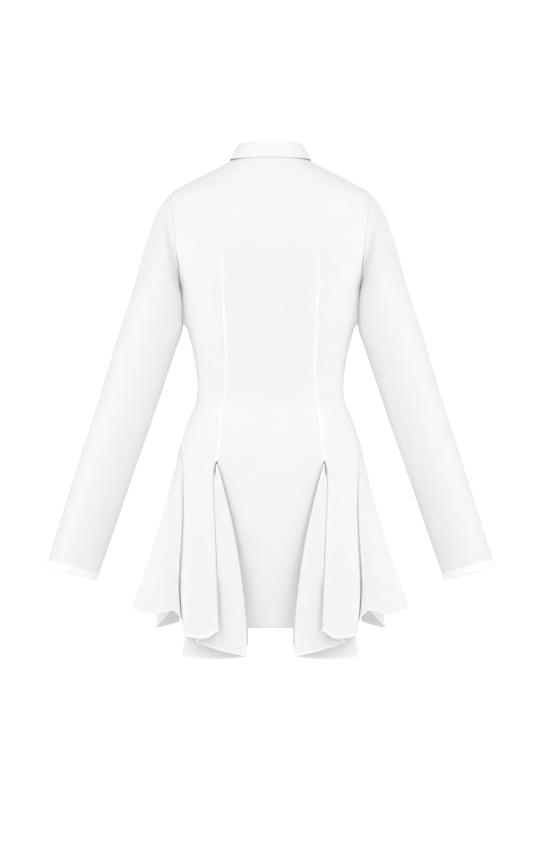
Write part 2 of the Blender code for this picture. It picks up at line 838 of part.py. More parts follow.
def make_button(name, point, outward):
    """A turned disc with a sunk middle, its flat back toward the band."""
    outline = (
        (0, BUTTON_THICKNESS - BUTTON_WELL),
        (BUTTON_RADIUS * 0.6, BUTTON_THICKNESS - BUTTON_WELL),
        (BUTTON_RADIUS * 0.75, BUTTON_THICKNESS),
        (BUTTON_RADIUS * 0.92, BUTTON_THICKNESS),
        (BUTTON_RADIUS, BUTTON_THICKNESS * 0.6),
        (BUTTON_RADIUS * 0.9, 0),
        (0, 0),
    )
    profile = bmesh.new()
    corners = [profile.verts.new((r * MM, 0, h * MM)) for r, h in outline]
    for start, end in zip(corners, corners[1:]):
        profile.edges.new((start, end))
    mesh = bpy.data.meshes.new(name)
    profile.to_mesh(mesh)
    profile.free()
    mesh.materials.append(button_white)
    piece = bpy.data.objects.new(name, mesh)
    dress.objects.link(piece)
    turn = piece.modifiers.new("turn", "SCREW")
    turn.steps = turn.render_steps = BUTTON_STEPS
    turn.use_merge_vertices = True
    turn.merge_threshold = 0.00001
    turn.use_smooth_shade = True
    piece.location = point * MM
    piece.rotation_euler = (math.acos(outward[2]), 0, math.atan2(outward[0], -outward[1]))
    return piece


def on_band(drop):
    """The middle of the band's outer face at a drop, on its straight run between rows, and its facing."""
    below = next(row for row in range(1, BODY_ROWS + 1) if row_drop("centre", 0.0, row) >= drop)
    low_drop, high_drop = row_drop("centre", 0.0, below), row_drop("centre", 0.0, below - 1)
    low, high = (band_point(0.0, at, SEAM_GAP + WALL) for at in (low_drop, high_drop))
    fall = low - high
    outward = vector(0, fall[2], -fall[1])
    return mix(high, low, (high[2] + drop) / (high[2] - low[2])), outward / np.linalg.norm(outward)


def make_buttons():
    for number in range(BAND_BUTTONS):
        point, outward = on_band(FIRST_BUTTON_DROP + number * BUTTON_SPACING)
        make_button(f"button_{number + 1}", point + outward * SEAM_GAP * 1.5, outward)
    low, high = neckline(180.0), fold_line(180.0)
    rise = high - low
    outward = vector(0, -rise[2], rise[1]) / np.linalg.norm(rise)
    on_stand = mix(low, high, 0.45) + outward * (STAND_LAP_STEP + WALL / 2)
    make_button("button_collar", on_stand + outward * SEAM_GAP * 1.5, outward)


for old in list(bpy.data.objects):
    bpy.data.objects.remove(old, do_unlink=True)
dress = bpy.data.collections.new("shirt_dress")
bpy.context.scene.collection.children.link(dress)
white_cloth = finish_of("white_cloth", (0.93, 0.93, 0.94), 0.8)
button_white = finish_of("button_white", (0.94, 0.94, 0.93), 0.3)

make_back()
make_front("front_right", RIGHT, FRONT_LAP, 0.0)
make_front("front_left", LEFT, UNDER_LAP, UNDER_STEP)
make_band()
make_stand()
make_fall()
make_sleeve("sleeve_left", LEFT)
make_sleeve("sleeve_right", RIGHT)
for word, face in (("back", BACK), ("front", FRONT)):
    make_godet(f"godet_{word}_left", face, LEFT)
    make_godet(f"godet_{word}_right", face, RIGHT)
make_side_godet("godet_side_left", LEFT)
make_side_godet("godet_side_right", RIGHT)
make_buttons()
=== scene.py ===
# %% [markdown]
# # A white shirt dress, filled out as it is worn
#
# The real dress is thin white cotton, cut in panels that are sewn together, with six godets let in below the
# hips. Cloth could be simulated, but a still garment whose every panel follows a known cut is easier to place
# by formula: each piece is a flat grid whose points are moved onto the garment's form, then thickened.
# The wearer's left is +X, the front faces -Y, and lengths are in millimetres until they reach a mesh.

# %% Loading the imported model
import math
from collections import namedtuple

import bmesh
import bpy
import numpy as np
from mathutils import Matrix, Vector


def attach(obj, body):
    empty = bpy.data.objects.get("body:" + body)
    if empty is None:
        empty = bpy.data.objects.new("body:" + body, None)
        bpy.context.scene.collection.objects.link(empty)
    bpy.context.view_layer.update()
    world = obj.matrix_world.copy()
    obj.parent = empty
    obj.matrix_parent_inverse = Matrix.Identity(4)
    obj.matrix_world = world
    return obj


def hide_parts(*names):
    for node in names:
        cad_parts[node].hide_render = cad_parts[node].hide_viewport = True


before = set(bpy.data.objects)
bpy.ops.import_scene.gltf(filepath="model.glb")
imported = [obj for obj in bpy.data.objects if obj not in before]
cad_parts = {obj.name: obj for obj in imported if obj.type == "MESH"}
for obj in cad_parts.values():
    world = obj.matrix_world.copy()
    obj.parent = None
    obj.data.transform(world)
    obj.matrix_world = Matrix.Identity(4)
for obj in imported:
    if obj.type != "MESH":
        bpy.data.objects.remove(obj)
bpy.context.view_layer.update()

MM = 0.001
BACK, FRONT = 1, -1
LEFT, RIGHT = 1, -1

# %% [markdown]
# ## The form under the cloth
#
# A fitted dress has no simple shape: its level slices change from a neck to shoulders, waist and hips. A list
# of named slices, each a rounded ellipse with its own depth behind and in front, describes it with few
# numbers. Smooth curves through the list give the form at any height. A drop is a distance below the origin,
# which is the middle of the neck opening.

# %% The slices and the lines on the form
Slice = namedtuple("Slice", "drop half_width back front squareness")
SLICES = (
    Slice(0, 64, 56, 56, 2.0),
    Slice(17, 97, 66, 62, 2.05),
    Slice(36, 134, 73, 68, 2.15),
    Slice(53, 162, 79, 75, 2.3),
    Slice(80, 170, 87, 88, 2.4),
    Slice(110, 172, 93, 102, 2.4),
    Slice(150, 169, 96, 120, 2.4),
    Slice(185, 160, 94, 131, 2.35),
    Slice(215, 150.5, 90, 135, 2.3),
    Slice(240, 145.5, 87, 134, 2.25),
    Slice(279, 138.5, 81, 125, 2.2),
    Slice(320, 128.5, 75, 113, 2.2),
    Slice(350, 123.5, 71, 106, 2.2),
    Slice(382, 121.5, 69, 102, 2.2),
    Slice(405, 125, 71, 102, 2.2),
    Slice(430, 136, 78, 103, 2.2),
    Slice(448, 142.5, 84, 104, 2.2),
    Slice(466, 148, 89, 105, 2.2),
    Slice(500, 150, 97, 106, 2.2),
    Slice(560, 152, 103, 107, 2.2),
    Slice(640, 156, 105, 107, 2.25),
    Slice(785, 160, 104, 106, 2.3),
    Slice(840, 160, 104, 106, 2.3),
)
Armhole = namedtuple("Armhole", "drop back_angle front_angle")
ARMHOLE = (
    Armhole(53, 90, 90),
    Armhole(66, 84, 83),
    Armhole(80, 79, 77),
    Armhole(110, 73.5, 69),
    Armhole(150, 66, 61),
    Armhole(180, 68, 62),
    Armhole(200, 76, 72),
    Armhole(215, 90, 90),
)
Across = namedtuple("Across", "drop across")
DART_LINE = (
    Across(150, 79.7),
    Across(186, 79.5),
    Across(224, 78.5),
    Across(277, 76),
    Across(345, 73.6),
    Across(385, 75),
    Across(412, 80),
    Across(452, 83),
    Across(500, 88),
)
Slit = namedtuple("Slit", "drop centre_edge side_edge")
SLIT = (
    Slit(500, 86.4, 89.6),
    Slit(512, 86.4, 92.0),
    Slit(530, 86, 93),
    Slit(571, 84.5, 92),
    Slit(622, 83, 89.5),
    Slit(684, 81.5, 87),
    Slit(740, 80, 84.5),
    Slit(786, 79, 82),
)
SIDE_EDGE = (
    Across(466, 148),
    Across(500, 145.5),
    Across(540, 143.5),
    Across(578, 142.5),
    Across(634, 143.5),
    Across(681, 146),
    Across(727, 147),
    Across(760, 144.5),
    Across(786, 141),
)
Flare = namedtuple("Flare", "drop off arch")
FLARE = (
    Flare(500, 0, 0),
    Flare(540, 4, 1),
    Flare(600, 13, 3),
    Flare(660, 23, 5),
    Flare(720, 33, 7),
    Flare(786, 43, 8),
)
CENTRE_HEM = 771
SIDE_PANEL_HEM = 782
SIDE_PANEL_HEM_DIP = 4
GODET_POINT = 500
SIDE_GODET_POINT = 466
SHOULDER_DROP = 53
UNDERARM_DROP = 215
NECK_HALF_WIDTH = 64
NECK_BACK = 56
NECK_FRONT = 76
NECK_DROP_BACK = -3
NECK_DROP_FRONT = 62
NECK_BLEND = 70
NECK_LANE_ANGLE = 27
ROW_BLEND = 150
DART_TOP = 150
DART_HALF = 1.6


def smooth_curve(stations, values):
    """A smooth function through a few rising stations and the value at each."""
    x, y = np.array(stations, float), np.array(values, float)
    slope = np.gradient(y, x)

    def at(position):
        p = min(max(position, x[0]), x[-1])
        i = min(int(np.searchsorted(x, p, side="right")) - 1, len(x) - 2)
        step = x[i + 1] - x[i]
        f = (p - x[i]) / step
        start = y[i] * (1 + 2 * f) * (1 - f) ** 2 + slope[i] * step * f * (1 - f) ** 2
        end = y[i + 1] * f * f * (3 - 2 * f) + slope[i + 1] * step * f * f * (f - 1)
        return start + end

    return at


def column_of(table, name):
    """One named column of a table of drops, as a smooth function of the drop."""
    return smooth_curve([row.drop for row in table], [getattr(row, name) for row in table])


half_width_at = column_of(SLICES, "half_width")
depth_at = {BACK: column_of(SLICES, "back"), FRONT: column_of(SLICES, "front")}
squareness_at = column_of(SLICES, "squareness")
armhole_at = {BACK: column_of(ARMHOLE, "back_angle"), FRONT: column_of(ARMHOLE, "front_angle")}
dart_at = column_of(DART_LINE, "across")
centre_edge_at = column_of(SLIT, "centre_edge")
slit_side_edge_at = column_of(SLIT, "side_edge")
side_edge_at = column_of(SIDE_EDGE, "across")
flare_at = column_of(FLARE, "off")
arch_at = column_of(FLARE, "arch")
print("waist half width", round(half_width_at(382), 1), "hem half width", round(half_width_at(CENTRE_HEM), 1))

# %% [markdown]
# ## Points on the form
#
# A point is named by its face, its angle from the middle of that face and its drop. Near the neck the form is
# drawn in to the neckline, so rows of the grid run level at the waist and follow the neck at the top.

# %% Finding points on the form
def ease(share):
    """0 to 1 with a soft start and end."""
    f = np.clip(share, 0.0, 1.0)
    return f * f * (3 - 2 * f)


def between(low, high, value):
    """The share of the way that a value has gone from low to high, eased."""
    return ease((value - low) / (high - low))


def mix(a, b, share):
    return a + (b - a) * share


def vector(x, y, z):
    return np.array((x, y, z), float)


def slice_point(face, angle, drop):
    power = 2 / squareness_at(drop)
    s, c = math.sin(math.radians(angle)), max(math.cos(math.radians(angle)), 0.0)
    across = half_width_at(drop) * math.copysign(abs(s) ** power, s)
    return vector(across, face * depth_at[face](drop) * c**power, -drop)


def angle_of(across, drop):
    share = min(abs(across) / half_width_at(drop), 1.0)
    return math.copysign(math.degrees(math.asin(share ** (squareness_at(drop) / 2))), across)


def neck_drop(face, angle):
    if face == BACK:
        return NECK_DROP_BACK * math.cos(math.radians(angle)) ** 2
    share = 1 - min(abs(angle), 90) / 90
    return NECK_DROP_FRONT * (1 - math.cos(math.pi * share)) / 2


def neck_point(face, angle):
    depth = NECK_BACK if face == BACK else NECK_FRONT
    turn = math.radians(angle)
    return vector(NECK_HALF_WIDTH * math.sin(turn), face * depth * math.cos(turn), -neck_drop(face, angle))


def form_point(face, angle, drop, top_angle):
    point = slice_point(face, angle, drop)
    top = neck_drop(face, top_angle)
    keep = 1 - between(0, NECK_BLEND, drop - top)
    if keep > 0:
        point = point + (neck_point(face, top_angle) - slice_point(face, top_angle, top)) * keep
    return point


def side_angle(face, drop):
    """The panel's outer edge: shoulder seam, armhole, side seam, then the side godet's edge."""
    if SHOULDER_DROP < drop < UNDERARM_DROP:
        return armhole_at[face](drop)
    if drop > SIDE_GODET_POINT:
        return angle_of(side_edge_at(drop), drop)
    return 90.0


def dart_angle(drop, off=0.0):
    """The dart seam's angle, and above the dart the line that carries it on to the neckline."""
    if drop >= DART_TOP:
        return angle_of(dart_at(drop) + off, drop)
    at_top = angle_of(dart_at(DART_TOP) + off, DART_TOP)
    return mix(NECK_LANE_ANGLE + 2 * off, at_top, between(0, DART_TOP, drop))


def lane_angle(face, zone, share, drop):
    if zone == "seam":
        return dart_angle(drop)
    if zone == "centre":
        edge = angle_of(centre_edge_at(drop), drop) if drop > GODET_POINT else dart_angle(drop, -DART_HALF)
        return edge * share
    edge = angle_of(slit_side_edge_at(drop), drop) if drop > GODET_POINT else dart_angle(drop, DART_HALF)
    return mix(edge, side_angle(face, drop), share)


SLIT_CORNER_RISE = 9
SLIT_CORNER_SHARE = 0.3
UNDERARM_FOLD = 8
UNDERARM_FOLD_TOP = 212
UNDERARM_FOLD_DROPS = (205, 238, 266, 281)
UNDERARM_FOLD_SHARES = (0.5, 0.88)


def hem_drop(zone, share):
    if zone == "side":
        corner = SLIT_CORNER_RISE * (1 - between(0, SLIT_CORNER_SHARE, share))
        return SIDE_PANEL_HEM + SIDE_PANEL_HEM_DIP * 4 * share * (1 - share) - corner
    return CENTRE_HEM


def underarm_fold(share, drop):
    """The small fold of cloth at the side seam under the arm, which the sleeve hangs against."""
    start, full, going, gone = UNDERARM_FOLD_DROPS
    spread = between(*UNDERARM_FOLD_SHARES, share)
    return UNDERARM_FOLD * spread * between(start, full, drop) * (1 - between(going, gone, drop))


def draped_point(face, angle, top_angle, drop):
    """A point of a row that is level from the blend down and follows the neckline at the top."""
    if drop >= ROW_BLEND:
        return slice_point(face, angle, drop)
    return form_point(face, angle, drop + neck_drop(face, top_angle) * (1 - drop / ROW_BLEND), top_angle)


def panel_point(face, zone, share, drop):
    """A point on the outer face of the body cloth on the wearer's left."""
    point = draped_point(face, lane_angle(face, zone, share, drop), lane_angle(face, zone, share, 0), drop)
    if zone == "side" and drop > GODET_POINT:
        off = flare_at(drop) + arch_at(drop) * 4 * share * (1 - share)
        point = point + vector(0, face * off, 0)
    if zone == "side" and drop > UNDERARM_FOLD_TOP:
        point = point + vector(underarm_fold(share, drop), 0, 0)
    return point


print("middle of the back at the waist", panel_point(BACK, "centre", 0.0, 382).round(1))

# %% [markdown]
# ## Turning a formula into cloth
#
# Every panel is made the same way, so one helper does it. It starts from Blender's flat grid, whose points
# are easy to count by row and column, moves each point to its place, and writes a UV map in real metres of
# cloth, which the weave follows. A Solidify modifier then gives the cloth its thickness. Small reliefs, such
# as a seam's ridge or a hem's fold, are added along the surface's own direction before that.

# %% The cloth maker
CLOTH = 0.5
TUBE_JOIN = 0.01
LEFT_OUT = np.array((np.nan, np.nan, np.nan))


def places_of(columns, rows, place):
    """The place of each point of a grid, rows down and columns across, worked out by a formula."""
    return np.array([[place(c, r) for c in range(columns)] for r in range(rows)], float)


def directions_of(points, turned):
    """The way the cloth faces at each point, from its neighbours."""
    filled = np.where(np.isnan(points), 0.0, points)
    across = np.gradient(filled, axis=1)
    down = np.gradient(filled, axis=0)
    facing = np.cross(down, across) if turned else np.cross(across, down)
    length = np.linalg.norm(facing, axis=2, keepdims=True)
    return facing / np.maximum(length, 1e-9)


def lengths_of(points):
    """How far each point lies along its row and down its column, in millimetres of cloth."""
    steps_across = np.nan_to_num(np.linalg.norm(np.diff(points, axis=1), axis=2))
    steps_down = np.nan_to_num(np.linalg.norm(np.diff(points, axis=0), axis=2))
    across = np.concatenate((np.zeros((len(points), 1)), np.cumsum(steps_across, axis=1)), axis=1)
    middle = across[:, across.shape[1] // 2]
    down = np.concatenate((np.zeros((1, points.shape[1])), np.cumsum(steps_down, axis=0)), axis=0)
    return across - middle[:, None], down


def put_in_scene(name, shape, *finishes):
    """A smooth-shaded object made from a bmesh."""
    mesh = bpy.data.meshes.new(name)
    shape.to_mesh(mesh)
    shape.free()
    mesh.shade_smooth()
    for finish in finishes:
        mesh.materials.append(finish)
    piece = bpy.data.objects.new(name, mesh)
    bpy.context.scene.collection.objects.link(piece)
    return piece


def sew(name, points, finish, wall=CLOTH, offset=-1.0, turned=False, tube=False, doubled_highlight=None):
    """A sheet of cloth through a grid of places, with its UV map in metres and its own thickness.

    Where cloth lies double, as in a hem or a seam, an attribute from 0 to 1 says how much painted highlight,
    a whiter colour, the material puts there.
    """
    rows, columns = points.shape[:2]
    across, down = lengths_of(points)
    sheet = bmesh.new()
    bmesh.ops.create_grid(sheet, x_segments=columns - 1, y_segments=rows - 1, size=0.5)
    uv = sheet.loops.layers.uv.new("cloth")
    highlight_layer = sheet.verts.layers.float.new("doubled_highlight")
    left_out = []
    for vertex in sheet.verts:
        column = round((vertex.co.x + 0.5) * (columns - 1))
        row = round((0.5 - vertex.co.y) * (rows - 1))
        place = points[row, column]
        # Painted highlight: the share of whiter colour for doubled cloth at seams and hems.
        vertex[highlight_layer] = 0.0 if doubled_highlight is None else doubled_highlight[row, column]
        for loop in vertex.link_loops:
            loop[uv].uv = (across[row, column] * MM, down[row, column] * MM)
        if np.isnan(place[0]):
            left_out.append(vertex)
        else:
            vertex.co = place * MM
    bmesh.ops.delete(sheet, geom=left_out, context="VERTS")
    if tube:
        bmesh.ops.remove_doubles(sheet, verts=sheet.verts[:], dist=TUBE_JOIN * MM)
    if turned:
        bmesh.ops.reverse_faces(sheet, faces=sheet.faces[:])
    piece = put_in_scene(name, sheet, finish)
    thickness = piece.modifiers.new("cloth_thickness", "SOLIDIFY")
    thickness.thickness = wall * MM
    thickness.offset = offset
    print(name, "grid", columns, "by", rows)
    return piece


def mirrored(point, side):
    return point * vector(side, 1, 1)


# %% [markdown]
# ## White cotton
#
# The cloth is a plain weave in matt white. At arm's length the weave only breaks up the light, so it is a
# fine bump of crossed threads that follows the UV map, with a little unevenness in colour and roughness and a
# faint sheen from loose fibres. Both the panels and the collar use the weave, so it is a shader node group.
# Where the cloth lies double, at seams and hems, its colour is a painted highlight, a touch whiter, for the
# light that raised seams and rolled hems catch.

# %% The weave, and the cloth's materials
THREADS_PER_METRE = 2600
SLUB_SCALE = 30
SLUB_DETAIL = 3.0
WEAVE_SOCKETS = (
    ("Place", "INPUT", "Vector"),
    ("Height", "OUTPUT", "Float"),
    ("Unevenness", "OUTPUT", "Float"),
)
WEAVE_STRENGTH = 0.25
ROUGHNESS_SPREAD = 0.05
COTTON_SHEEN = {"Sheen Weight": 0.1, "Sheen Roughness": 0.6, "Specular IOR Level": 0.25}
# Painted highlight: the white that doubled cloth at seams and hems is mixed toward, for the light their
# raised edges catch.
PAINTED_HIGHLIGHT_WHITE = (0.97, 0.97, 0.97)


def set_inputs(node, values):
    for name, value in values.items():
        node.inputs[name].default_value = value


def colour_mix(tree, share, first, second):
    """The output of a node that goes from a colour, or node's output, to a second as the share rises."""
    node = tree.nodes.new("ShaderNodeMix")
    node.data_type = "RGBA"
    tree.links.new(share, node.inputs[0])
    if isinstance(first, tuple):
        node.inputs[6].default_value = (*first, 1)
    else:
        tree.links.new(first, node.inputs[6])
    node.inputs[7].default_value = (*second, 1)
    return node.outputs[2]


def ranged(tree, value, low, high):
    """The output of a node that spreads a value from 0 to 1 over the range from low to high."""
    node = tree.nodes.new("ShaderNodeMapRange")
    set_inputs(node, {"To Min": low, "To Max": high})
    tree.links.new(value, node.inputs["Value"])
    return node.outputs["Result"]


def new_finish(name):
    """A new material, its node tree and its shader."""
    material = bpy.data.materials.new(name)
    material.use_nodes = True
    return material, material.node_tree, material.node_tree.nodes["Principled BSDF"]


def make_weave():
    """A node group that puts out the height of crossed threads and a slow unevenness."""
    group = bpy.data.node_groups.new("plain_weave", "ShaderNodeTree")
    for name, way, kind in WEAVE_SOCKETS:
        group.interface.new_socket(name=name, in_out=way, socket_type="NodeSocket" + kind)
    nodes, links = group.nodes, group.links
    entry, leave = nodes.new("NodeGroupInput"), nodes.new("NodeGroupOutput")
    scaled = nodes.new("ShaderNodeVectorMath")
    scaled.operation = "SCALE"
    scaled.inputs["Scale"].default_value = THREADS_PER_METRE
    links.new(entry.outputs["Place"], scaled.inputs[0])
    parts = nodes.new("ShaderNodeSeparateXYZ")
    links.new(scaled.outputs[0], parts.inputs[0])
    crossed = nodes.new("ShaderNodeMath")
    crossed.operation = "MULTIPLY"
    for k, axis in enumerate(("X", "Y")):
        wave = nodes.new("ShaderNodeMath")
        wave.operation = "SINE"
        links.new(parts.outputs[axis], wave.inputs[0])
        links.new(wave.outputs[0], crossed.inputs[k])
    slub = nodes.new("ShaderNodeTexNoise")
    set_inputs(slub, {"Scale": SLUB_SCALE, "Detail": SLUB_DETAIL})
    links.new(entry.outputs["Place"], slub.inputs["Vector"])
    links.new(crossed.outputs[0], leave.inputs["Height"])
    links.new(slub.outputs["Fac"], leave.inputs["Unevenness"])
    return group


def make_cotton(name, bright, dull, roughness, weave_depth):
    """Matt cotton: two near whites mixed by the cloth's unevenness, a painted highlight of whiter colour
    where the cloth lies double at seams and hems, and threads as a fine bump, in metres.
    """
    material, tree, shader = new_finish(name)
    nodes, links = tree.nodes, tree.links
    place = nodes.new("ShaderNodeUVMap")
    place.uv_map = "cloth"
    weave = nodes.new("ShaderNodeGroup")
    weave.node_tree = plain_weave
    links.new(place.outputs["UV"], weave.inputs["Place"])
    unevenness = weave.outputs["Unevenness"]
    doubled_highlight = nodes.new("ShaderNodeAttribute")
    doubled_highlight.attribute_name = "doubled_highlight"
    single = colour_mix(tree, unevenness, dull, bright)
    # Painted highlight: where the cloth lies double, at seams and hems, the colour is mixed toward a whiter
    # white for the light the raised seam and rolled hem catch.
    links.new(colour_mix(tree, doubled_highlight.outputs["Fac"], single, PAINTED_HIGHLIGHT_WHITE), shader.inputs["Base Color"])
    rough = ranged(tree, unevenness, roughness - ROUGHNESS_SPREAD, roughness + ROUGHNESS_SPREAD)
    links.new(rough, shader.inputs["Roughness"])
    bump = nodes.new("ShaderNodeBump")
    set_inputs(bump, {"Strength": WEAVE_STRENGTH, "Distance": weave_depth})
    links.new(weave.outputs["Height"], bump.inputs["Height"])
    links.new(bump.outputs["Normal"], shader.inputs["Normal"])
    set_inputs(shader, COTTON_SHEEN)
    return material


plain_weave = make_weave()
cotton = make_cotton(
    "white_cotton", bright=(0.88, 0.88, 0.88), dull=(0.85, 0.85, 0.852), roughness=0.8, weave_depth=0.0001
)
collar_cotton = make_cotton(
    "collar_cotton", bright=(0.9, 0.9, 0.9), dull=(0.87, 0.87, 0.872), roughness=0.75, weave_depth=0.00008
)
print("materials", [m.name for m in bpy.data.materials])

# %% [markdown]
# ## The back
#
# The back is one panel with a long dart on each side of the middle. Below the hips each dart opens into a
# slit for a godet. The grid runs from one side seam to the other, with close lanes beside the darts, where
# the real seam makes a slim raised line. Its rows run level down to the slits' points and then share the way
# to each part's own hem.

# %% Lanes, rows and the back panel
ROW_STEP = 5.0
LANE_PULL = 0.5
CENTRE_WIDTH, SIDE_WIDTH = 86, 70
HEM_FOLD = 0.03
HEM_STEPS = 4


def close_at_ends(count):
    """Shares from 0 to 1, closer together near both ends."""
    even = np.linspace(0, 1, count + 1)
    return mix(even, (1 - np.cos(math.pi * even)) / 2, LANE_PULL)


def steps_for(length):
    return max(2, int(round(length / ROW_STEP)))


KEY_DROPS = (0, SHOULDER_DROP, UNDERARM_DROP, SIDE_GODET_POINT, GODET_POINT)
LEVEL_DROPS = [0.0]
for start, end in zip(KEY_DROPS, KEY_DROPS[1:]):
    LEVEL_DROPS.extend(np.linspace(start, end, steps_for(end - start) + 1)[1:])
HEM_WAY = np.concatenate((
    np.linspace(0, 1 - HEM_FOLD, steps_for(CENTRE_HEM - GODET_POINT) + 1)[1:],
    np.linspace(1 - HEM_FOLD, 1, HEM_STEPS + 1)[1:],
))
BODY_ROWS = len(LEVEL_DROPS) + len(HEM_WAY)


def row_drop(zone, share, row):
    if row < len(LEVEL_DROPS):
        return LEVEL_DROPS[row]
    return mix(GODET_POINT, hem_drop(zone, share), HEM_WAY[row - len(LEVEL_DROPS)])


def half_lanes():
    lanes = [("centre", share) for share in close_at_ends(steps_for(CENTRE_WIDTH))[1:]]
    lanes.append(("seam", 0.0))
    return lanes + [("side", share) for share in close_at_ends(steps_for(SIDE_WIDTH))]


def body_grid(face, lanes):
    def place(column, row):
        side, zone, share = lanes[column]
        drop = row_drop(zone, share, row)
        if zone == "seam" and drop > GODET_POINT:
            return LEFT_OUT
        return mirrored(panel_point(face, zone, share, drop), side)

    return places_of(len(lanes), BODY_ROWS, place)


half = half_lanes()
back_lanes = [(LEFT, *lane) for lane in reversed(half)] + [(LEFT, "centre", 0.0)]
back_lanes += [(RIGHT, *lane) for lane in half]
back_points = body_grid(BACK, back_lanes)
print("back grid", back_points.shape)


# %% Raising the dart seams and the hem
SEAM_RISE = 1.3
SEAM_SPREAD = 1.6
SEAM_START = (150, 178)
HEM_DEPTH = 3.5
HEM_RAMP = 1.5
HEM_RISE = 0.5
# Painted highlight: how much whiter colour the doubled cloth of a turned hem gets, beside the full share at a
# dart seam.
HEM_HIGHLIGHT = 0.8
Dimple = namedtuple("Dimple", "across lean drop length width depth")
DIMPLES = (
    Dimple(84.5, -0.07, 193, 15, 2.2, 1.1),
    Dimple(136.5, -0.05, 217, 18, 3.0, 1.6),
)


def seam_share(point, drop, start):
    """How much of the dart's seam is at a point, from 0 to 1."""
    if drop > GODET_POINT or np.isnan(point[0]):
        return 0.0
    off = abs(abs(point[0]) - dart_at(drop))
    return math.exp(-((off / SEAM_SPREAD) ** 2)) * between(*start, drop)


def hem_share(zone, share, drop):
    """1 in the turned hem at a panel's lower edge, and 0 above it."""
    top = hem_drop(zone, share) - HEM_DEPTH
    return between(top - HEM_RAMP, top, drop)


def dimple_depth(point, drop):
    """The slight hollows where the cloth pulls beside the dart and under the arm."""
    depth = 0.0
    for dimple in DIMPLES:
        along = (drop - dimple.drop) / dimple.length
        off = abs(point[0]) - dimple.across - dimple.lean * (drop - dimple.drop)
        depth += dimple.depth * math.exp(-(along**2) * 2 - (off / dimple.width) ** 2)
    return depth


def panel_finish(points, lanes, start, dimpled):
    """How far each point stands off the panel, and how much painted highlight, a whiter colour, its doubled
    cloth gets there.
    """
    relief, doubled_highlight = np.zeros(points.shape[:2]), np.zeros(points.shape[:2])
    for column, (zone, share) in enumerate(lanes):
        for row in range(BODY_ROWS):
            drop = row_drop(zone, share, row)
            point = points[row, column]
            seam = seam_share(point, drop, start)
            hem = hem_share(zone, share, drop) if zone == "side" else 0.0
            relief[row, column] = SEAM_RISE * seam + HEM_RISE * hem
            if dimpled:
                relief[row, column] -= dimple_depth(point, drop)
            # Painted highlight where the cloth lies double at the seam and the hem.
            doubled_highlight[row, column] = max(seam, HEM_HIGHLIGHT * hem)
    return relief[:, :, None], doubled_highlight


back_facing = directions_of(back_points, False)
back_relief, back_highlight = panel_finish(back_points, [lane[1:] for lane in back_lanes], SEAM_START, True)
back_points = back_points + back_facing * back_relief
back = sew("back_panel", back_points, cotton, doubled_highlight=back_highlight)
print("back faces", back_facing[BODY_ROWS // 2, len(back_lanes) // 2].round(2))

# %% [markdown]
# ## The fronts and the button band
#
# The photo shows the back only, so the front is a plain closed shirt front: two panels with a dart each, the
# right one lapping over the left, and a band along the right one's edge. The grid's lanes start past the
# middle, at the lap's edge, and keep their distance from it all the way down.

# %% The two fronts
FRONT_LAP = 14
UNDER_LAP = 13
LAP_INNER = 17
LAP_LANES = 7
LAP_SEARCH = (-30.0, 30.0)
LAP_SEARCH_STEPS = 20
UNDER_STEP = 1.6
UNDER_RAMP = (17, 42)
FRONT_WIDTH, FRONT_SIDE_WIDTH = 65, 75
FRONT_SEAM_START = (190, 230)


def lap_angles(across, drop):
    """The angle of a lane this far across near a front's centre line, at this drop and at the neck."""
    top_angle = math.degrees(math.asin(across / NECK_HALF_WIDTH))
    if drop >= ROW_BLEND:
        return angle_of(across, drop), top_angle
    low, high = LAP_SEARCH
    for _ in range(LAP_SEARCH_STEPS):
        middle = (low + high) / 2
        if draped_point(FRONT, middle, top_angle, drop)[0] < across:
            low = middle
        else:
            high = middle
    return middle, top_angle


def lap_point(across, drop):
    return draped_point(FRONT, *lap_angles(across, drop), drop)


def front_centre_point(share, drop):
    """A point between the lap and the dart seam of a front."""
    start, start_top = lap_angles(LAP_INNER, drop)
    angle = mix(start, lane_angle(FRONT, "centre", 1.0, drop), share)
    top_angle = mix(start_top, lane_angle(FRONT, "centre", 1.0, 0), share)
    return draped_point(FRONT, angle, top_angle, drop)


def make_front(name, side, lap, step_in):
    lanes = [("lap", across) for across in np.linspace(-lap, LAP_INNER, LAP_LANES)]
    lanes += [("front", share) for share in close_at_ends(steps_for(FRONT_WIDTH))[1:]]
    lanes.append(("seam", 0.0))
    lanes += [("side", share) for share in close_at_ends(steps_for(FRONT_SIDE_WIDTH))]

    def place(column, row):
        zone, share = lanes[column]
        drop = row_drop(zone, share, row)
        if zone == "seam" and drop > GODET_POINT:
            return LEFT_OUT
        if zone == "lap":
            point = lap_point(share, drop)
        elif zone == "front":
            point = front_centre_point(share, drop)
        else:
            point = panel_point(FRONT, zone, share, drop)
        depth = step_in * (1 - between(*UNDER_RAMP, point[0]))
        return mirrored(point + vector(0, depth, 0), side)

    points = places_of(len(lanes), BODY_ROWS, place)
    facing = directions_of(points, side == RIGHT)
    relief, doubled_highlight = panel_finish(points, lanes, FRONT_SEAM_START, False)
    return sew(name, points + facing * relief, cotton, turned=side == RIGHT, doubled_highlight=doubled_highlight)


right_front = make_front("right_front_panel", RIGHT, FRONT_LAP, 0.0)
left_front = make_front("left_front_panel", LEFT, UNDER_LAP, UNDER_STEP)

# %% The button band
BAND_HALF = 15
BAND_COLUMNS = 21
BAND_TOP = 2
BAND_LIFT = 1.0
BAND_WALL = 0.8
STITCH_LINE = 11
STITCH_GROOVE = 0.25
STITCH_GROOVE_WIDTH = 0.9


def band_point(across, drop, lift):
    return lap_point(across, drop) + vector(0, -lift, 0)


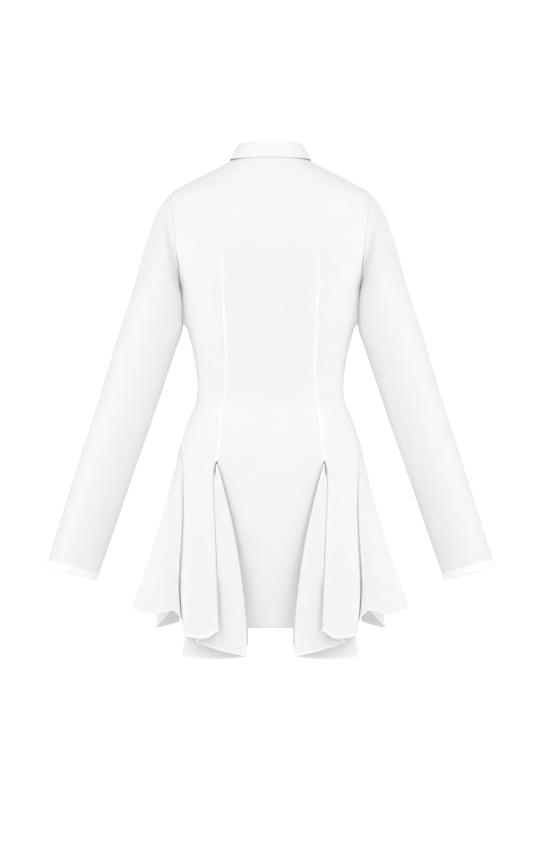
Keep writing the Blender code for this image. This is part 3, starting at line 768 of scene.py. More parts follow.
def make_band():
    """The band, pulled in along two lines of stitching."""
    columns = np.linspace(-BAND_HALF, BAND_HALF, BAND_COLUMNS)

    def place(column, row):
        drop = row_drop("centre", 0.0, row) if row else BAND_TOP
        across = columns[column]
        groove = STITCH_GROOVE * math.exp(-(((abs(across) - STITCH_LINE) / STITCH_GROOVE_WIDTH) ** 2))
        return band_point(across, drop, BAND_LIFT - groove)

    return sew("button_band", places_of(BAND_COLUMNS, BODY_ROWS, place), cotton, wall=BAND_WALL)


band = make_band()

# %% [markdown]
# ## The collar
#
# A shirt collar is two pieces: a stand that rises from the neckline, and a leaf that turns over the stand's
# top and falls outside it. Behind, the leaf's edge runs level just over the seam, and in front it drops to
# two points. Both are swept round the neck as a grid, one column for each step of the turn.

# %% The stand
COLLAR_WALL = 1.0
COLLAR_COLUMNS = 120
STAND_ROWS = 10
STAND_HEIGHT_BACK = 22.5
STAND_HEIGHT_FRONT = 24.7
STAND_GAP = 0.2
FOLD_HALF_WIDTH = 50
FOLD_BACK = 48
FOLD_FRONT = 66
STAND_LAP_ANGLE = 8
STAND_LAP_STEP = 0.85
STAND_LAP_TURN = (150, 176)


def ring_angle(angle):
    if abs(angle) <= 90:
        return BACK, angle
    return FRONT, math.copysign(180 - abs(angle), angle)


def stand_height(angle):
    return mix(STAND_HEIGHT_FRONT, STAND_HEIGHT_BACK, math.cos(math.radians(angle / 2)) ** 4)


def neckline(angle):
    """A point of the neckline. Past the middle of the front an end runs on over the other side."""
    if abs(angle) <= 180:
        return neck_point(*ring_angle(angle))
    return mirrored(neck_point(*ring_angle(360 - abs(angle))), -math.copysign(1, angle))


def fold_line(angle):
    turn = math.radians(angle)
    depth = FOLD_BACK if math.cos(turn) >= 0 else FOLD_FRONT
    low = neckline(angle)[2]
    return vector(FOLD_HALF_WIDTH * math.sin(turn), depth * math.cos(turn), low + stand_height(angle))


def outward_at(angle):
    turn = math.radians(angle)
    return vector(math.sin(turn), math.cos(turn), 0)


def make_stand():
    """The stand, whose two ends lap in front, one inside the other."""
    end = 180 + STAND_LAP_ANGLE

    def place(column, row):
        angle = mix(end, -end, column / COLLAR_COLUMNS)
        low = neckline(angle) + vector(0, 0, STAND_GAP)
        point = mix(fold_line(angle), low, row / STAND_ROWS)
        lap = STAND_LAP_STEP * between(*STAND_LAP_TURN, abs(angle)) * math.copysign(1, angle)
        return point - outward_at(angle) * lap

    points = places_of(COLLAR_COLUMNS + 1, STAND_ROWS + 1, place)
    return sew("collar_stand_band", points, collar_cotton, wall=COLLAR_WALL, offset=0.0)


stand = make_stand()

# %% The leaf
ROLL_ROWS = 8
FALL_ROWS = 24
FALL_END_ANGLE = 5
FALL_ROLL = 2.8
FALL_ROLL_TURN = 0.55
ROLL_OUT, ROLL_UP = 1 / 1.16, 0.62
FALL_START_UP = 0.55
FALL_LIFT = 0.9
FALL_SWELL = 4
LEAF_HALF_WIDTH = 67
LEAF_BACK = 56.8
LEAF_RISE = 0.5
POINT_ACROSS = 44
POINT_DROP = 104
POINT_SWEEP = 1.25
LEAF_CLEAR = 4
LEAF_ROUND_SHARE = 0.45
LEAF_ON_CHEST = (0.1, 0.6)


def leaf_edge(angle):
    """The leaf's free lower edge: level behind, down to the two points in front."""
    turn = math.radians(angle)
    if abs(angle) <= 90:
        return vector(LEAF_HALF_WIDTH * math.sin(turn), LEAF_BACK * math.cos(turn), LEAF_RISE)
    share = (abs(angle) - 90) / (90 - FALL_END_ANGLE)
    across = mix(LEAF_HALF_WIDTH, POINT_ACROSS, ease(share))
    drop = mix(-LEAF_RISE, POINT_DROP, share**POINT_SWEEP)
    surface = slice_point(FRONT, angle_of(across, max(drop, 0)), max(drop, 0))
    round_edge = -LEAF_BACK * math.sin(math.radians(90 * min(share / LEAF_ROUND_SHARE, 1)))
    depth = mix(round_edge, surface[1] - LEAF_CLEAR, between(*LEAF_ON_CHEST, share))
    return vector(math.copysign(across, angle), depth, -drop)


def make_leaf():
    """The leaf, which rolls over the stand's top and then swells a little on its way down."""
    end = 180 - FALL_END_ANGLE

    def place(column, row):
        angle = mix(end, -end, column / COLLAR_COLUMNS)
        out, up = outward_at(angle), vector(0, 0, 1)
        top = fold_line(angle) + up * FALL_LIFT
        if row <= ROLL_ROWS:
            turn = math.pi * FALL_ROLL_TURN * row / ROLL_ROWS
            return top + FALL_ROLL * (out * (1 - math.cos(turn)) * ROLL_OUT + up * math.sin(turn) * ROLL_UP)
        start = top + FALL_ROLL * (out + up * FALL_START_UP)
        share = (row - ROLL_ROWS) / FALL_ROWS
        point = mix(start, leaf_edge(angle), share)
        return point + out * FALL_SWELL * share * (1 - share)

    points = places_of(COLLAR_COLUMNS + 1, ROLL_ROWS + FALL_ROWS + 1, place)
    return sew("collar_leaf", points, collar_cotton, wall=COLLAR_WALL, offset=0.0)


leaf = make_leaf()

# %% [markdown]
# ## The sleeves
#
# Each sleeve is a tube that starts at the armhole, turns down over the shoulder and hangs straight to a plain
# hem. Its upper half starts a little inside the armhole's edge, on the body cloth, so the seam doesn't gape.
# Each column of the tube is a smooth curve through its place in every slanting ring, so the shoulder comes
# out round although there are few rings.

# %% The sleeve's rings
SleeveRing = namedtuple("SleeveRing", "outer drop tilt width middle half_depth")
SLEEVE_RINGS = (
    SleeveRing(171, 57, 82.9, 168.3, -5, 49),
    SleeveRing(181, 71, 78.8, 163.1, -5, 53),
    SleeveRing(191, 90, 74, 155, -5, 55),
    SleeveRing(201, 118, 67.4, 140.8, -5, 57),
    SleeveRing(212, 154, 57.9, 123.9, -5, 58),
    SleeveRing(228, 213, 37, 103, -5, 57),
    SleeveRing(251, 283, 20, 98.5, -6, 55),
    SleeveRing(270, 345, 17.7, 97, -8, 53),
    SleeveRing(292, 416, 17.7, 95, -12, 51),
    SleeveRing(316, 490, 17.7, 93, -17, 48),
    SleeveRing(337, 556, 17.2, 91.5, -23, 45),
    SleeveRing(357, 618, 16.5, 90, -29, 42),
    SleeveRing(375, 675, 15.5, 88, -35, 40),
)
HEAD_SLIM = 1.6
HEAD_SLIM_DROPS = (115, 225)
PRESSED = 9
PRESSED_DROPS = (190, 235, 262, 292)
PRESSED_BELOW = (0, -0.7)


def sleeve_ring_point(ring, turn):
    """A point of a slanting ring, slimmer over the shoulder and pressed toward the body under the arm."""
    tilt = math.radians(ring.tilt)
    outer = vector(ring.outer, ring.middle, -ring.drop)
    inner = outer - vector(math.cos(tilt), 0, math.sin(tilt)) * ring.width
    across = mix(inner, outer, (1 + math.cos(turn)) / 2)
    slim = 1.0 - between(*HEAD_SLIM_DROPS, ring.drop) if math.cos(turn) > 0 else 0.0
    rounded = math.sin(turn) * abs(math.sin(turn)) ** (HEAD_SLIM * slim)
    point = across + vector(0, ring.half_depth * rounded, 0)
    start, full, going, gone = PRESSED_DROPS
    low = -point[2]
    pressed = PRESSED * between(start, full, low) * (1 - between(going, gone, low))
    corner = max(math.sin(turn), 0) * between(*PRESSED_BELOW, math.cos(turn))
    return point - vector(pressed * corner, 0, 0)


print("sleeve rings", len(SLEEVE_RINGS))

# %% The sleeve's head, over the armhole
HEAD_OVERLAP = 16
HEAD_OVERLAP_SHARE = 0.2
HEAD_WAYS = (1.0, 0.75, 0.5, 0.25, 0.0)
HEAD_LIFT = (0.5, 0.35, -0.5)
HEAD_LIFT_ASIDE = 0.3
HEAD_JOINED = (-0.35, 0.3)


def armhole_point(turn, share=1.0, raised=0.0):
    """A point of the armhole's edge, counted from the shoulder round the back, or a little inside it."""
    drop = mix(SHOULDER_DROP, UNDERARM_DROP, (1 - math.cos(turn)) / 2)
    return panel_point(BACK if math.sin(turn) >= 0 else FRONT, "side", share, drop - raised)


def head_point(turn, way):
    """A point by the armhole's edge on the body cloth, where way 1 is the full overlap and 0 the edge."""
    joined = between(*HEAD_JOINED, math.cos(turn))
    upper = max(math.cos(turn), 0)
    share = 1 - HEAD_OVERLAP_SHARE * way * joined * abs(math.sin(turn))
    point = armhole_point(turn, share, HEAD_OVERLAP * way * joined * upper**2)
    lift = float(np.interp(way, (0.0, 0.5, 1.0), HEAD_LIFT)) * joined
    return point + lift * vector(HEAD_LIFT_ASIDE, math.sin(turn), upper)


print("shoulder point", armhole_point(0.0).round(1))

# %% The two sleeves
SLEEVE_AROUND = 72
SLEEVE_LENGTH = 700
SLEEVE_SET_OUT = 0.3
SLEEVE_HEM = 13
SLEEVE_HEM_RISE = 0.4
NOT_JOINED = 0.05
RINGS_OVER_HEAD = 2


def curve_through(corners, count):
    """Evenly spaced points on a smooth curve through a few places."""
    corners = np.array(corners)
    along = np.concatenate(([0.0], np.cumsum(np.linalg.norm(np.diff(corners, axis=0), axis=1))))
    axes = [smooth_curve(along, corners[:, k]) for k in range(3)]
    return np.array([[axis(s) for axis in axes] for s in np.linspace(0, along[-1], count)])


def make_sleeve(name, side):
    """A sleeve whose upper half starts on the body cloth, and whose lower half at the armhole's edge."""
    rows = steps_for(SLEEVE_LENGTH) + 1
    points = np.zeros((rows, SLEEVE_AROUND + 1, 3))
    for column in range(SLEEVE_AROUND + 1):
        turn = 2 * math.pi * (column % SLEEVE_AROUND) / SLEEVE_AROUND
        if between(*HEAD_JOINED, math.cos(turn)) > NOT_JOINED:
            corners = [head_point(turn, way) for way in HEAD_WAYS]
            rings = SLEEVE_RINGS[RINGS_OVER_HEAD:]
        else:
            corners = [armhole_point(turn) + vector(SLEEVE_SET_OUT, 0, 0)]
            rings = SLEEVE_RINGS
        corners += [sleeve_ring_point(ring, turn) for ring in rings]
        points[:, column] = mirrored(curve_through(corners, rows), side)
    up = np.linalg.norm(points - points[-1:], axis=2)
    hem = 1 - ease((up - SLEEVE_HEM) / HEM_RAMP)
    # The turned hem stands out a little, and its doubled cloth gets a painted highlight, a whiter colour.
    points += directions_of(points, side == LEFT) * SLEEVE_HEM_RISE * hem[:, :, None]
    return sew(name, points, cotton, turned=side == LEFT, tube=True, doubled_highlight=HEM_HIGHLIGHT * hem)


left_sleeve = make_sleeve("left_sleeve", LEFT)
right_sleeve = make_sleeve("right_sleeve", RIGHT)

# %% [markdown]
# ## The godets
#
# A godet is a fan of cloth let into a slit, so it hangs in folds that all start from one point. Each level of
# the fan is a run of straight stretches between the places where the cloth folds, with the corners rounded,
# more so toward the hem. The places move out from the point to where the folds lie at the hem.

# %% Rounded runs of cloth
RUN_STEPS = 600
RUN_PULL = 0.6


def rounded_run(stations, radius, columns, point):
    """Points along a run of straight stretches with rounded corners, a set number to each stretch.

    Cloth that fans out from a point hangs in arcs, so a run shares out its distance from the point.
    """
    corners = np.array(stations)
    lengths = np.linalg.norm(np.diff(corners, axis=0), axis=1)
    corners[:, 2] = np.linalg.norm(corners - point, axis=1)
    along = np.concatenate(([0.0], np.cumsum(lengths)))
    even = np.linspace(0, along[-1], RUN_STEPS)
    fine = np.stack([np.interp(even, along, corners[:, k]) for k in range(3)], axis=1)
    reach = max(1, int(round(radius / along[-1] * RUN_STEPS)))
    before = 2 * fine[0] - fine[reach:0:-1]
    after = 2 * fine[-1] - fine[-2 : -reach - 2 : -1]
    padded = np.concatenate((before, fine, after))
    weight = np.hanning(2 * reach + 3)[1:-1]
    weight /= weight.sum()
    soft = np.stack([np.convolve(padded[:, k], weight, mode="valid") for k in range(3)], axis=1)
    places = [0.0]
    for i, steps in enumerate(columns):
        for step in range(1, steps + 1):
            share = step / steps
            if steps > 2:
                share = mix(share, (1 - math.cos(math.pi * share)) / 2, RUN_PULL)
            places.append(along[i] + share * (along[i + 1] - along[i]))
    run = np.stack([np.interp(places, even, soft[:, k]) for k in range(3)], axis=1)
    level = np.linalg.norm(run[:, :2] - point[:2], axis=1)
    run[:, 2] = point[2] - np.sqrt(np.maximum(run[:, 2] ** 2 - level**2, 0.0))
    return run


# %% The back and front godets
Fold = namedtuple("Fold", "across depth drop")
FLUTE_TIP = Fold(38, 130, 815)
BEHIND_PANEL = Fold(121, 121, 793)
NEAR_PANEL_EDGE = Fold(90, 129, 803)
INNER_FOLD = Fold(146, 78, 818)
FLUTE_EASE = 1.85
FLUTE_LIFT = (3, 0.8)
FLUTE_ROUND = (1.1, 2.4)
BEHIND_ROUND = 2.6
BEHIND_DIP = 3.2
INNER_ROUND = 4.0
OVER_LIFT = 4.4
SLIVER = (0.01, 0.03, 0.1)
SLIVER_DEPTH = 9
GODET_TUCKED = (0.5, 0.95)
GODET_CURLED = (0.2, 0.75)
GODET_SOFTEN = (0.7, 3.6)
GODET_COLUMNS = (3, 5, 5, 6, 14, 8, 18, 8, 16, 4)
GODET_EDGE = 0.6
FIRST_FOLDS = (0.05, 0.2, 0.3, 0.45)
LAST_FOLDS = (0.5, 0.75)
GODET_LENGTH = 320
GODET_TOP_SHARE = 0.01
GODET_LOW_SHARE = 0.98
GODET_HEM_SHARE = 0.991
GODET_HEM_RAMP = 0.004
# Painted highlight: how much whiter colour the godets' narrow doubled hem gets.
GODET_HEM_HIGHLIGHT = 0.6


def at_hem(fold, face):
    return vector(fold.across, face * fold.depth, -fold.drop)


def godet_run(face, share):
    """One level of a back or front godet on the wearer's left, from the side panel's edge to the centre's."""
    side_drop = mix(GODET_POINT, hem_drop("side", 0.0), share)
    centre_drop = mix(GODET_POINT, CENTRE_HEM, share)
    near_side = panel_point(face, "side", 0.0, side_drop)
    near_centre = panel_point(face, "centre", 1.0, centre_drop)
    first = near_side + vector(-GODET_EDGE, -face * CLOTH, 0)
    last = near_centre + vector(GODET_EDGE, -face * CLOTH, 0)
    hem_first = panel_point(face, "side", 0.0, hem_drop("side", 0.0)) + vector(-GODET_EDGE, 0, 0)
    hem_last = panel_point(face, "centre", 1.0, CENTRE_HEM) + vector(GODET_EDGE, 0, 0)
    depth = vector(0, face, 0)
    tucked = between(*GODET_TUCKED, share)
    curled = between(*GODET_CURLED, share)

    tip_across = mix(dart_at(GODET_POINT), FLUTE_TIP.across, 1 - (1 - share) ** FLUTE_EASE)
    stand_off = FLUTE_TIP.depth - abs(hem_last[1])
    lift, lift_sweep = FLUTE_LIFT
    tip_depth = abs(near_centre[1]) + mix(lift, stand_off, share**lift_sweep)
    tip = vector(tip_across, face * tip_depth, -mix(GODET_POINT, FLUTE_TIP.drop, share))
    tip_round = depth * (FLUTE_ROUND[0] + FLUTE_ROUND[1] * share)

    behind = first + (at_hem(BEHIND_PANEL, face) - hem_first) * share
    behind_round = depth * BEHIND_ROUND * share
    near = first + (at_hem(NEAR_PANEL_EDGE, face) - hem_first) * share
    sliver = depth * SLIVER_DEPTH * between(0, SLIVER[0], share) * (1 - between(SLIVER[1], SLIVER[2], share))
    opening = [mix(first, tip, way) for way in FIRST_FOLDS]
    opening[0] = opening[0] - sliver
    opening[1] = opening[1] - sliver
    tucking = (first - depth * BEHIND_DIP, behind + behind_round, behind - behind_round, near)
    dip, behind_near, behind_far, near_edge = (mix(a, b, tucked) for a, b in zip(opening, tucking))

    over = last + depth * OVER_LIFT * (1 - curled)
    inner = last + (at_hem(INNER_FOLD, face) - hem_last) * share
    inner_round = depth * INNER_ROUND * share
    inner_near = mix(mix(tip, over, LAST_FOLDS[0]), inner + inner_round, curled)
    inner_far = mix(mix(tip, over, LAST_FOLDS[1]), inner - inner_round, curled)
    stations = [first, dip, behind_near, behind_far, near_edge]
    stations += [tip + tip_round, tip - tip_round, inner_near, inner_far, over, last]
    point = slice_point(face, dart_angle(GODET_POINT), GODET_POINT)
    return rounded_run(stations, GODET_SOFTEN[0] + GODET_SOFTEN[1] * share, GODET_COLUMNS, point)


GODET_LEVELS = np.concatenate((
    np.linspace(GODET_TOP_SHARE, GODET_LOW_SHARE, steps_for(GODET_LENGTH)),
    np.linspace(GODET_LOW_SHARE, 1.0, HEM_STEPS + 1)[1:],
))
godets = {}


def sew_godets(word, run):
    """The left and the right godet of a kind, each with a narrow doubled hem painted whiter as a highlight.
    """
    hem = between(GODET_HEM_SHARE - GODET_HEM_RAMP, GODET_HEM_SHARE, GODET_LEVELS)
    points = np.array([run(share) for share in GODET_LEVELS])
    # Painted highlight, a whiter colour, along the doubled hem.
    doubled_highlight = np.repeat(hem[:, None] * GODET_HEM_HIGHLIGHT, points.shape[1], axis=1)
    for hand, side in (("left", LEFT), ("right", RIGHT)):
        godet = sew(f"{hand}_{word}_godet", mirrored(points, side), cotton, offset=0.0, doubled_highlight=doubled_highlight)
        godets[f"godet_{word}_{hand}"] = godet


sew_godets("back", lambda share: godet_run(BACK, share))
sew_godets("front", lambda share: godet_run(FRONT, share))

# %% The side godets
SIDE_CREASE = Fold(160, 87, 742)
SIDE_SWELL = Fold(196, 84, 751)
SIDE_TIP = Fold(229, 47, 742)
SIDE_RETURN = {BACK: Fold(165, 26, 748), FRONT: Fold(152, 30, 768)}
SIDE_MIDDLE = Fold(193, 0, 777)
SIDE_SEAM_GAP = 0.6
BESIDE_EDGE = 0.97
SLIT_LEAN = 0.35
SLIT_SHARE = 0.1
SLIT_WIDTH = (2.4, 1.6)
SLIT_DEPTH = (3.0, 8.0)
SLIT_RISE = (14, 27)
STRIP_DIP = 4.5
CREASE_FOLLOWS = 0.8
SWELL_FOLLOWS = 0.3
SIDE_TIP_ROUND = 4.5
SIDE_RETURN_ROUND = 3.2
SIDE_BOW = 5
SIDE_FOLDED = (0.12, 0.5)
SIDE_SOFTEN = (0.6, 2.4)
SIDE_HALF_COLUMNS = (5, 5, 6, 10, 10, 5, 10, 5, 8)


def side_godet_run(share):
    """One level of the side godet on the wearer's left, from the back seam to the front seam.

    Beside each panel's edge the cloth dives into a narrow deep fold, and comes up again in a slim strip.
    """
    point = vector(half_width_at(SIDE_GODET_POINT), 0, -SIDE_GODET_POINT)
    opened = between(0, SLIT_SHARE, share)
    folded = between(*SIDE_FOLDED, share)
    bow = math.sin(math.pi * share) * vector(-SIDE_BOW, 0, 0)
    up = vector(0, 0, share)
    width = SLIT_WIDTH[0] * opened + SLIT_WIDTH[1] * share
    slit_depth = SLIT_DEPTH[0] * opened + SLIT_DEPTH[1] * share
    drop = mix(SIDE_GODET_POINT, SIDE_PANEL_HEM, share)

    def fanned(fold, face):
        return point + (at_hem(fold, face) - point) * share

    halves = []
    for face in (BACK, FRONT):
        edge = panel_point(face, "side", 1.0, drop)
        along = (edge - panel_point(face, "side", BESIDE_EDGE, drop)) * vector(1, 1, 0)
        along /= np.linalg.norm(along)
        outward = vector(along[1], -along[0], 0) * -face
        depth = vector(0, face, 0)
        first = edge + along * SIDE_SEAM_GAP - outward * CLOTH
        hem_edge = panel_point(face, "side", 1.0, SIDE_PANEL_HEM)
        pulled = depth * (abs(first[1]) - abs(hem_edge[1]) * share)
        deep = first + vector(SLIT_LEAN * width, 0, 0) - depth * slit_depth
        strip = first + vector(width, 0, 0) - depth * STRIP_DIP * opened
        tip = fanned(SIDE_TIP, face)
        tip_round = depth * SIDE_TIP_ROUND * share
        return_round = depth * SIDE_RETURN_ROUND * share * folded
        middle_out = tip * vector(1, 0, 1)
        back_in = mix(mix(middle_out, tip, 0.5), fanned(SIDE_RETURN[face], face), folded)
        middle = mix(middle_out, fanned(SIDE_MIDDLE, face), folded)
        stations = [first, deep + up * SLIT_RISE[0], strip + up * SLIT_RISE[1]]
        stations += [
            place + bow
            for place in (
                fanned(SIDE_CREASE, face) + pulled * CREASE_FOLLOWS,
                fanned(SIDE_SWELL, face) + pulled * SWELL_FOLLOWS,
                tip + tip_round,
                tip - tip_round,
                back_in + return_round,
                back_in - return_round,
                middle,
            )
        ]
        halves.append(stations)
    stations = halves[0] + halves[1][-2::-1]
    columns = SIDE_HALF_COLUMNS + SIDE_HALF_COLUMNS[::-1]
    return rounded_run(stations, SIDE_SOFTEN[0] + SIDE_SOFTEN[1] * share, columns, point)


sew_godets("side", side_godet_run)

# %% [markdown]
# ## Buttons and buttonholes
#
# The front isn't in the photo, so plain four-hole shirt buttons were chosen. A button is a turned outline
# round a flat floor with four real holes, and two strands of thread cross over them. Each buttonhole is a
# narrow stitched ring, upright on the band, whose ends show above and below its button.

# %% Plastic and thread
CLOUD = {"Scale": 260, "Detail": 2}
CLOUD_SHADE = 0.93
GLOSS = {"Coat Weight": 0.3, "Coat Roughness": 0.15}


def make_plastic(name, colour, roughness):
    """Smooth white plastic with a faint cloudiness, as in a pearly shirt button."""
    material, tree, shader = new_finish(name)
    place = tree.nodes.new("ShaderNodeTexCoord")
    cloud = tree.nodes.new("ShaderNodeTexNoise")
    set_inputs(cloud, CLOUD)
    tree.links.new(place.outputs["Object"], cloud.inputs["Vector"])
    shade = tuple(c * CLOUD_SHADE for c in colour)
    tree.links.new(colour_mix(tree, cloud.outputs["Fac"], shade, colour), shader.inputs["Base Color"])
    set_inputs(shader, {"Roughness": roughness, **GLOSS})
    return material


pearl = make_plastic("pearly_button", (0.9, 0.9, 0.885), roughness=0.3)
thread_finish = make_plastic("white_thread", (0.86, 0.86, 0.86), roughness=0.7)
print("finishes", pearl.name, thread_finish.name)

# %% One button
BUTTON_OUTLINE = ((3.45, 1.7), (4.0, 1.85), (4.4, 2.15), (5.2, 2.2), (5.75, 1.5), (5.6, 0.6), (5.0, 0.0))
BUTTON_FLOOR = BUTTON_OUTLINE[0][1]
BUTTON_STEPS = 40
SHARP_ANGLE = 40
HOLE_RADIUS = 0.62
HOLE_OUT = 1.25
HOLE_STEPS = 12
THREAD_RADIUS = 0.28
THREAD_WIDTH = 1.7
THREAD_RISE = 0.55
THREAD_SINK = 0.3
THREAD_STEPS = 8


def ring_of(mesh, radius, height, steps, centre=(0.0, 0.0)):
    turns = [2 * math.pi * k / steps for k in range(steps)]
    places = [(centre[0] + radius * math.cos(t), centre[1] + radius * math.sin(t), height) for t in turns]
    return [mesh.verts.new(place) for place in places]


def bridge(mesh, first, second):
    for k in range(len(first)):
        n = (k + 1) % len(first)
        mesh.faces.new((first[k], first[n], second[n], second[k]))


def fill_round(mesh, loops):
    """A flat face inside the first loop, with the others left open in it."""
    edges = []
    for loop in loops:
        for pair in zip(loop, loop[1:] + loop[:1]):
            edges.append(mesh.edges.get(pair) or mesh.edges.new(pair))
    bmesh.ops.triangle_fill(mesh, use_beauty=True, edges=edges)


def add_strand(mesh, turn):
    """A strand of thread from one hole over the floor into the hole across from it."""
    before = set(mesh.faces)
    along = vector(math.cos(turn), math.sin(turn), 0)
    aside = vector(-math.sin(turn), math.cos(turn), 0) * THREAD_WIDTH
    rings = []
    for share in np.linspace(-1, 1, THREAD_STEPS + 1):
        height = BUTTON_FLOOR + THREAD_RISE * (1 - share**4) - THREAD_SINK
        middle = along * HOLE_OUT * share + vector(0, 0, height)
        turns = [2 * math.pi * k / THREAD_STEPS for k in range(THREAD_STEPS)]
        places = [middle + THREAD_RADIUS * (aside * math.cos(t) + vector(0, 0, math.sin(t))) for t in turns]
        rings.append([mesh.verts.new(place) for place in places])
    for first, second in zip(rings, rings[1:]):
        bridge(mesh, first, second)
    mesh.faces.new(rings[0])
    mesh.faces.new(rings[-1])
    for face in set(mesh.faces) - before:
        face.material_index = 1


def button_shape():
    """One button lying flat, its back at height 0, in millimetres."""
    mesh = bmesh.new()
    rings = [ring_of(mesh, radius, height, BUTTON_STEPS) for radius, height in BUTTON_OUTLINE]
    for first, second in zip(rings, rings[1:]):
        bridge(mesh, second, first)
    turns = [math.pi * (0.25 + 0.5 * k) for k in range(4)]
    holes = []
    for turn in turns:
        centre = (HOLE_OUT * math.cos(turn), HOLE_OUT * math.sin(turn))
        holes.append([ring_of(mesh, HOLE_RADIUS, h, HOLE_STEPS, centre) for h in (BUTTON_FLOOR, 0.0)])
        bridge(mesh, *holes[-1])
    fill_round(mesh, [rings[0]] + [hole[0] for hole in holes])
    fill_round(mesh, [rings[-1]] + [hole[1] for hole in holes])
    for turn in turns[:2]:
        add_strand(mesh, turn)
    bmesh.ops.recalc_face_normals(mesh, faces=mesh.faces[:])
    return mesh


def make_button(name, base, outward):
    mesh = button_shape()
    facing = Vector(outward).to_track_quat("Z", "Y").to_matrix().to_4x4()
    move = Matrix.Scale(MM, 4) @ Matrix.Translation(Vector(base)) @ facing
    bmesh.ops.transform(mesh, matrix=move, verts=mesh.verts[:])
    button = put_in_scene(name, mesh, pearl, thread_finish)
    button.data.set_sharp_from_angle(angle=math.radians(SHARP_ANGLE))
    return button


print("button", 2 * max(radius for radius, height in BUTTON_OUTLINE), "mm wide")

# %% The buttonholes
HOLE_LENGTH = 14.5
HOLE_WIDTH = 2.0
STITCH_HEIGHT = 0.22
STITCH_OUTLINE = ((HOLE_WIDTH, -0.1), (HOLE_WIDTH, 0.15), (HOLE_WIDTH * 0.6, STITCH_HEIGHT), (0.3, 0.0))
STITCH_STEPS = 24


def make_buttonholes(drops):
    """The stitched rings round the slits of the band, as one piece."""
    mesh = bmesh.new()
    half = (HOLE_LENGTH - HOLE_WIDTH) / 2
    for drop in drops:
        rings = []
        for width, lift in STITCH_OUTLINE:
            ring = []
            for turn in np.linspace(0, 2 * math.pi, STITCH_STEPS, endpoint=False):
                across = width / 2 * math.cos(turn)
                down = width / 2 * math.sin(turn) + math.copysign(half, math.sin(turn) + 1e-9)
                ring.append(mesh.verts.new(band_point(across, drop + down, BAND_LIFT + lift) * MM))
            rings.append(ring)
        for first, second in zip(rings, rings[1:] + rings[:1]):
            bridge(mesh, first, second)
    bmesh.ops.recalc_face_normals(mesh, faces=mesh.faces[:])
    return put_in_scene("buttonholes", mesh, thread_finish)


print("buttonhole", HOLE_LENGTH, "by", HOLE_WIDTH, "mm")

# %% Placing the buttons and buttonholes
FIRST_BUTTON_DROP = 118
BUTTON_SPACING = 78
BAND_BUTTONS = 8
BUTTON_LIFT = 0.1
STAND_BUTTON_SHARE = 0.45


def outward_from(way):
    """The way out of the front, square to a line that runs down it."""
    outward = vector(0, way[2], -way[1])
    return outward / np.linalg.norm(outward)


button_drops = [FIRST_BUTTON_DROP + BUTTON_SPACING * k for k in range(BAND_BUTTONS)]
buttons = {}
for number, drop in enumerate(button_drops, 1):
    outward = outward_from(band_point(0, drop + 1, 0) - band_point(0, drop - 1, 0))
    base = band_point(0, drop, BAND_LIFT) + outward * (STITCH_HEIGHT + BUTTON_LIFT)
    buttons[f"button_{number}"] = make_button(f"shirt_button_{number}", base, outward)
outward = outward_from(neckline(180) - fold_line(180))
base = mix(neckline(180), fold_line(180), STAND_BUTTON_SHARE)
base = base + outward * (STAND_LAP_STEP + COLLAR_WALL / 2 + BUTTON_LIFT)
buttons["button_collar"] = make_button("shirt_button_collar", base, outward)
buttonholes = make_buttonholes(button_drops)
print("buttons", len(buttons), "buttonholes", len(button_drops))

# %% [markdown]
# ## Camera, light and stage
#
# The photo looks at the back from about five and a half metres, level, through a long lens. White cloth keeps
# its shape only by the soft shade in its folds, so the light comes from several large soft lamps: one over
# the camera, a pair beside it, a pair above, a pair at the sides and one for the front. A pale room fills the
# rest. The paper and the room look white to the camera but light the cloth less, which keeps its shape clear.

# %% The camera
CAMERA_AWAY = 5.5
CAMERA_ASIDE, CAMERA_LOW = -0.0025, -0.4437
FRAME_HEIGHT = 1.4193
SENSOR = 24.0
camera_data = bpy.data.cameras.new("photo_camera")
camera_data.sensor_fit = "VERTICAL"
camera_data.sensor_height = SENSOR
camera_data.lens = SENSOR * CAMERA_AWAY / FRAME_HEIGHT
camera = bpy.data.objects.new("photo_camera", camera_data)
camera.location = (CAMERA_ASIDE, CAMERA_AWAY, CAMERA_LOW)
camera.rotation_euler = (math.radians(90), 0, math.radians(180))
bpy.context.scene.collection.objects.link(camera)
bpy.context.scene.camera = camera
bpy.context.scene.view_settings.view_transform = "Standard"
print("lens", round(camera_data.lens, 1), "mm")


# %% Lights
Lamp = namedtuple("Lamp", "name place size power")
LAMPS = (
    Lamp("light_near_camera", (0.0, 4.5, 1.2), 3.0, 30),
    Lamp("light_half_left", (2.5, 3.0, 0.6), 2.0, 18),
    Lamp("light_half_right", (-2.5, 3.0, 0.6), 2.0, 18),
    Lamp("light_side_left", (3.0, 0.2, 0.3), 2.0, 18),
    Lamp("light_side_right", (-3.0, 0.2, 0.3), 2.0, 18),
    Lamp("light_high_left", (2.5, 1.5, 2.5), 2.0, 50),
    Lamp("light_high_right", (-2.5, 1.5, 2.5), 2.0, 50),
    Lamp("light_on_the_front", (0.0, -3.2, 1.9), 2.0, 30),
)
AIM = (0, 0, -0.4)
ROOM_LIGHTS, ROOM_LOOKS = 0.2, 1.0


def soft_light(name, place, size, power):
    """A square lamp that points at the middle of the dress."""
    data = bpy.data.lights.new(name, "AREA")
    data.shape = "SQUARE"
    data.size = size
    data.energy = power
    lamp = bpy.data.objects.new(name, data)
    lamp.location = place
    lamp.rotation_euler = (Vector(AIM) - Vector(place)).to_track_quat("-Z", "Y").to_euler()
    bpy.context.scene.collection.objects.link(lamp)


def brighter_to_camera(tree, strength, others, camera_sees):
    """A strength that is higher where the camera looks straight at it than where it only lights the dress."""
    ray = tree.nodes.new("ShaderNodeLightPath")
    tree.links.new(ranged(tree, ray.outputs["Is Camera Ray"], others, camera_sees), strength)


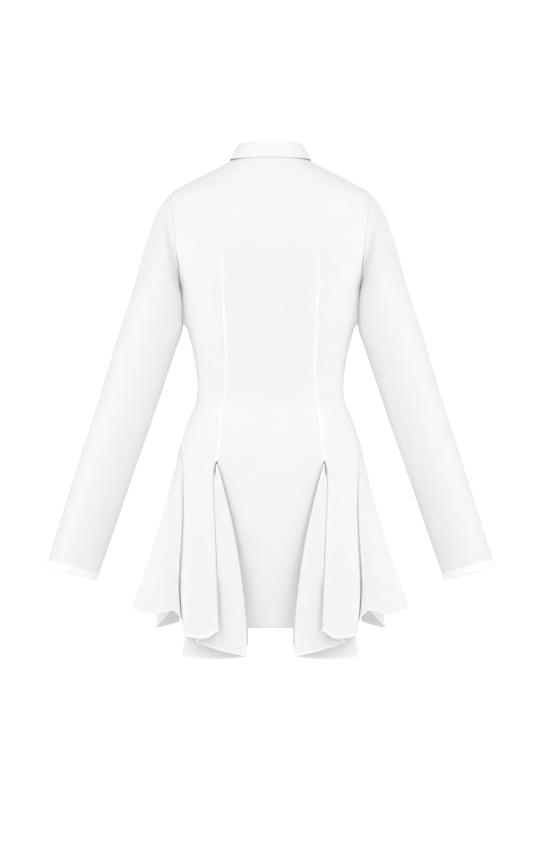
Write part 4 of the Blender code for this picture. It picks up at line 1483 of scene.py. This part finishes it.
for lamp in LAMPS:
    soft_light(*lamp)
room = bpy.data.worlds.new("pale_room")
room.use_nodes = True
sky = room.node_tree.nodes["Background"]
sky.inputs["Color"].default_value = (1.0, 1.0, 1.0, 1)
brighter_to_camera(room.node_tree, sky.inputs["Strength"], ROOM_LIGHTS, ROOM_LOOKS)
bpy.context.scene.world = room
print("lights", len(LAMPS))

# %% The floor and backdrop
FLOOR = -1.35
PAPER_WIDTH = 16
PAPER_LENGTH = 20
PAPER_STEPS = 40
PAPER_START = 6.0
PAPER_LEVEL = 12.0
PAPER_BEND = 1.5
PAPER_LIGHTS, PAPER_LOOKS = 0.22, 0.8
PAPER = {"Base Color": (0.95, 0.95, 0.95, 1), "Roughness": 0.9, "Emission Color": (1, 1, 1, 1)}


def paper_point(along):
    """A point of the strip's edge: level along the floor, then round the bend, then straight up."""
    bent = min(max(along - PAPER_LEVEL, 0), PAPER_BEND * math.pi / 2)
    turn = bent / PAPER_BEND
    back = PAPER_START - min(along, PAPER_LEVEL) - PAPER_BEND * math.sin(turn)
    risen = max(along - PAPER_LEVEL - bent, 0)
    return back, FLOOR + PAPER_BEND * (1 - math.cos(turn)) + risen


def make_stage():
    """A pale sheet that runs along the floor and curves up behind, as one strip swept across."""
    strip = bmesh.new()
    bmesh.ops.create_grid(strip, x_segments=1, y_segments=PAPER_STEPS, size=0.5)
    for vertex in strip.verts:
        vertex.co = (vertex.co.x * PAPER_WIDTH, *paper_point((vertex.co.y + 0.5) * PAPER_LENGTH))
    material, tree, shader = new_finish("pale_paper")
    set_inputs(shader, PAPER)
    brighter_to_camera(tree, shader.inputs["Emission Strength"], PAPER_LIGHTS, PAPER_LOOKS)
    sweep = put_in_scene("paper_sweep", strip, material)
    print("paper", PAPER_WIDTH, "by", PAPER_LENGTH, "m")


make_stage()

# %% [markdown]
# ## Standing in for the plain solids
#
# Each finished piece hides the plain solid that it stands for and rides on the dress's one body. The table
# beside each panel gives the width, length and area that it was cut to.

# %% Handing over the pieces
Cut = namedtuple("Cut", "width length area")
CUTS = {
    "back": (back, Cut(0.50, 0.80, 0.273)),
    "front_right": (right_front, Cut(0.30, 0.84, 0.151)),
    "front_left": (left_front, Cut(0.30, 0.84, 0.150)),
    "placket": (band, Cut(0.03, 0.75, None)),
    "collar_stand": (stand, Cut(0.41, 0.027, 0.011)),
    "collar_fall": (leaf, Cut(0.40, 0.08, 0.0168)),
    "sleeve_left": (left_sleeve, Cut(0.40, 0.66, 0.18)),
    "sleeve_right": (right_sleeve, Cut(0.40, 0.66, 0.18)),
}
for word in ("back", "front"):
    for hand in ("left", "right"):
        node = f"godet_{word}_{hand}"
        CUTS[node] = (godets[node], Cut(0.36, 0.33, 0.0436))
for hand in ("left", "right"):
    node = f"godet_side_{hand}"
    CUTS[node] = (godets[node], Cut(0.45, 0.33, 0.071))
for node, (piece, cut) in CUTS.items():
    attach(piece, "root")
    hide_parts(node)

for node, button in buttons.items():
    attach(button, "root")
    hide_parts(node)
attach(buttonholes, "root")
print("pieces", len(CUTS) + len(buttons) + 1)
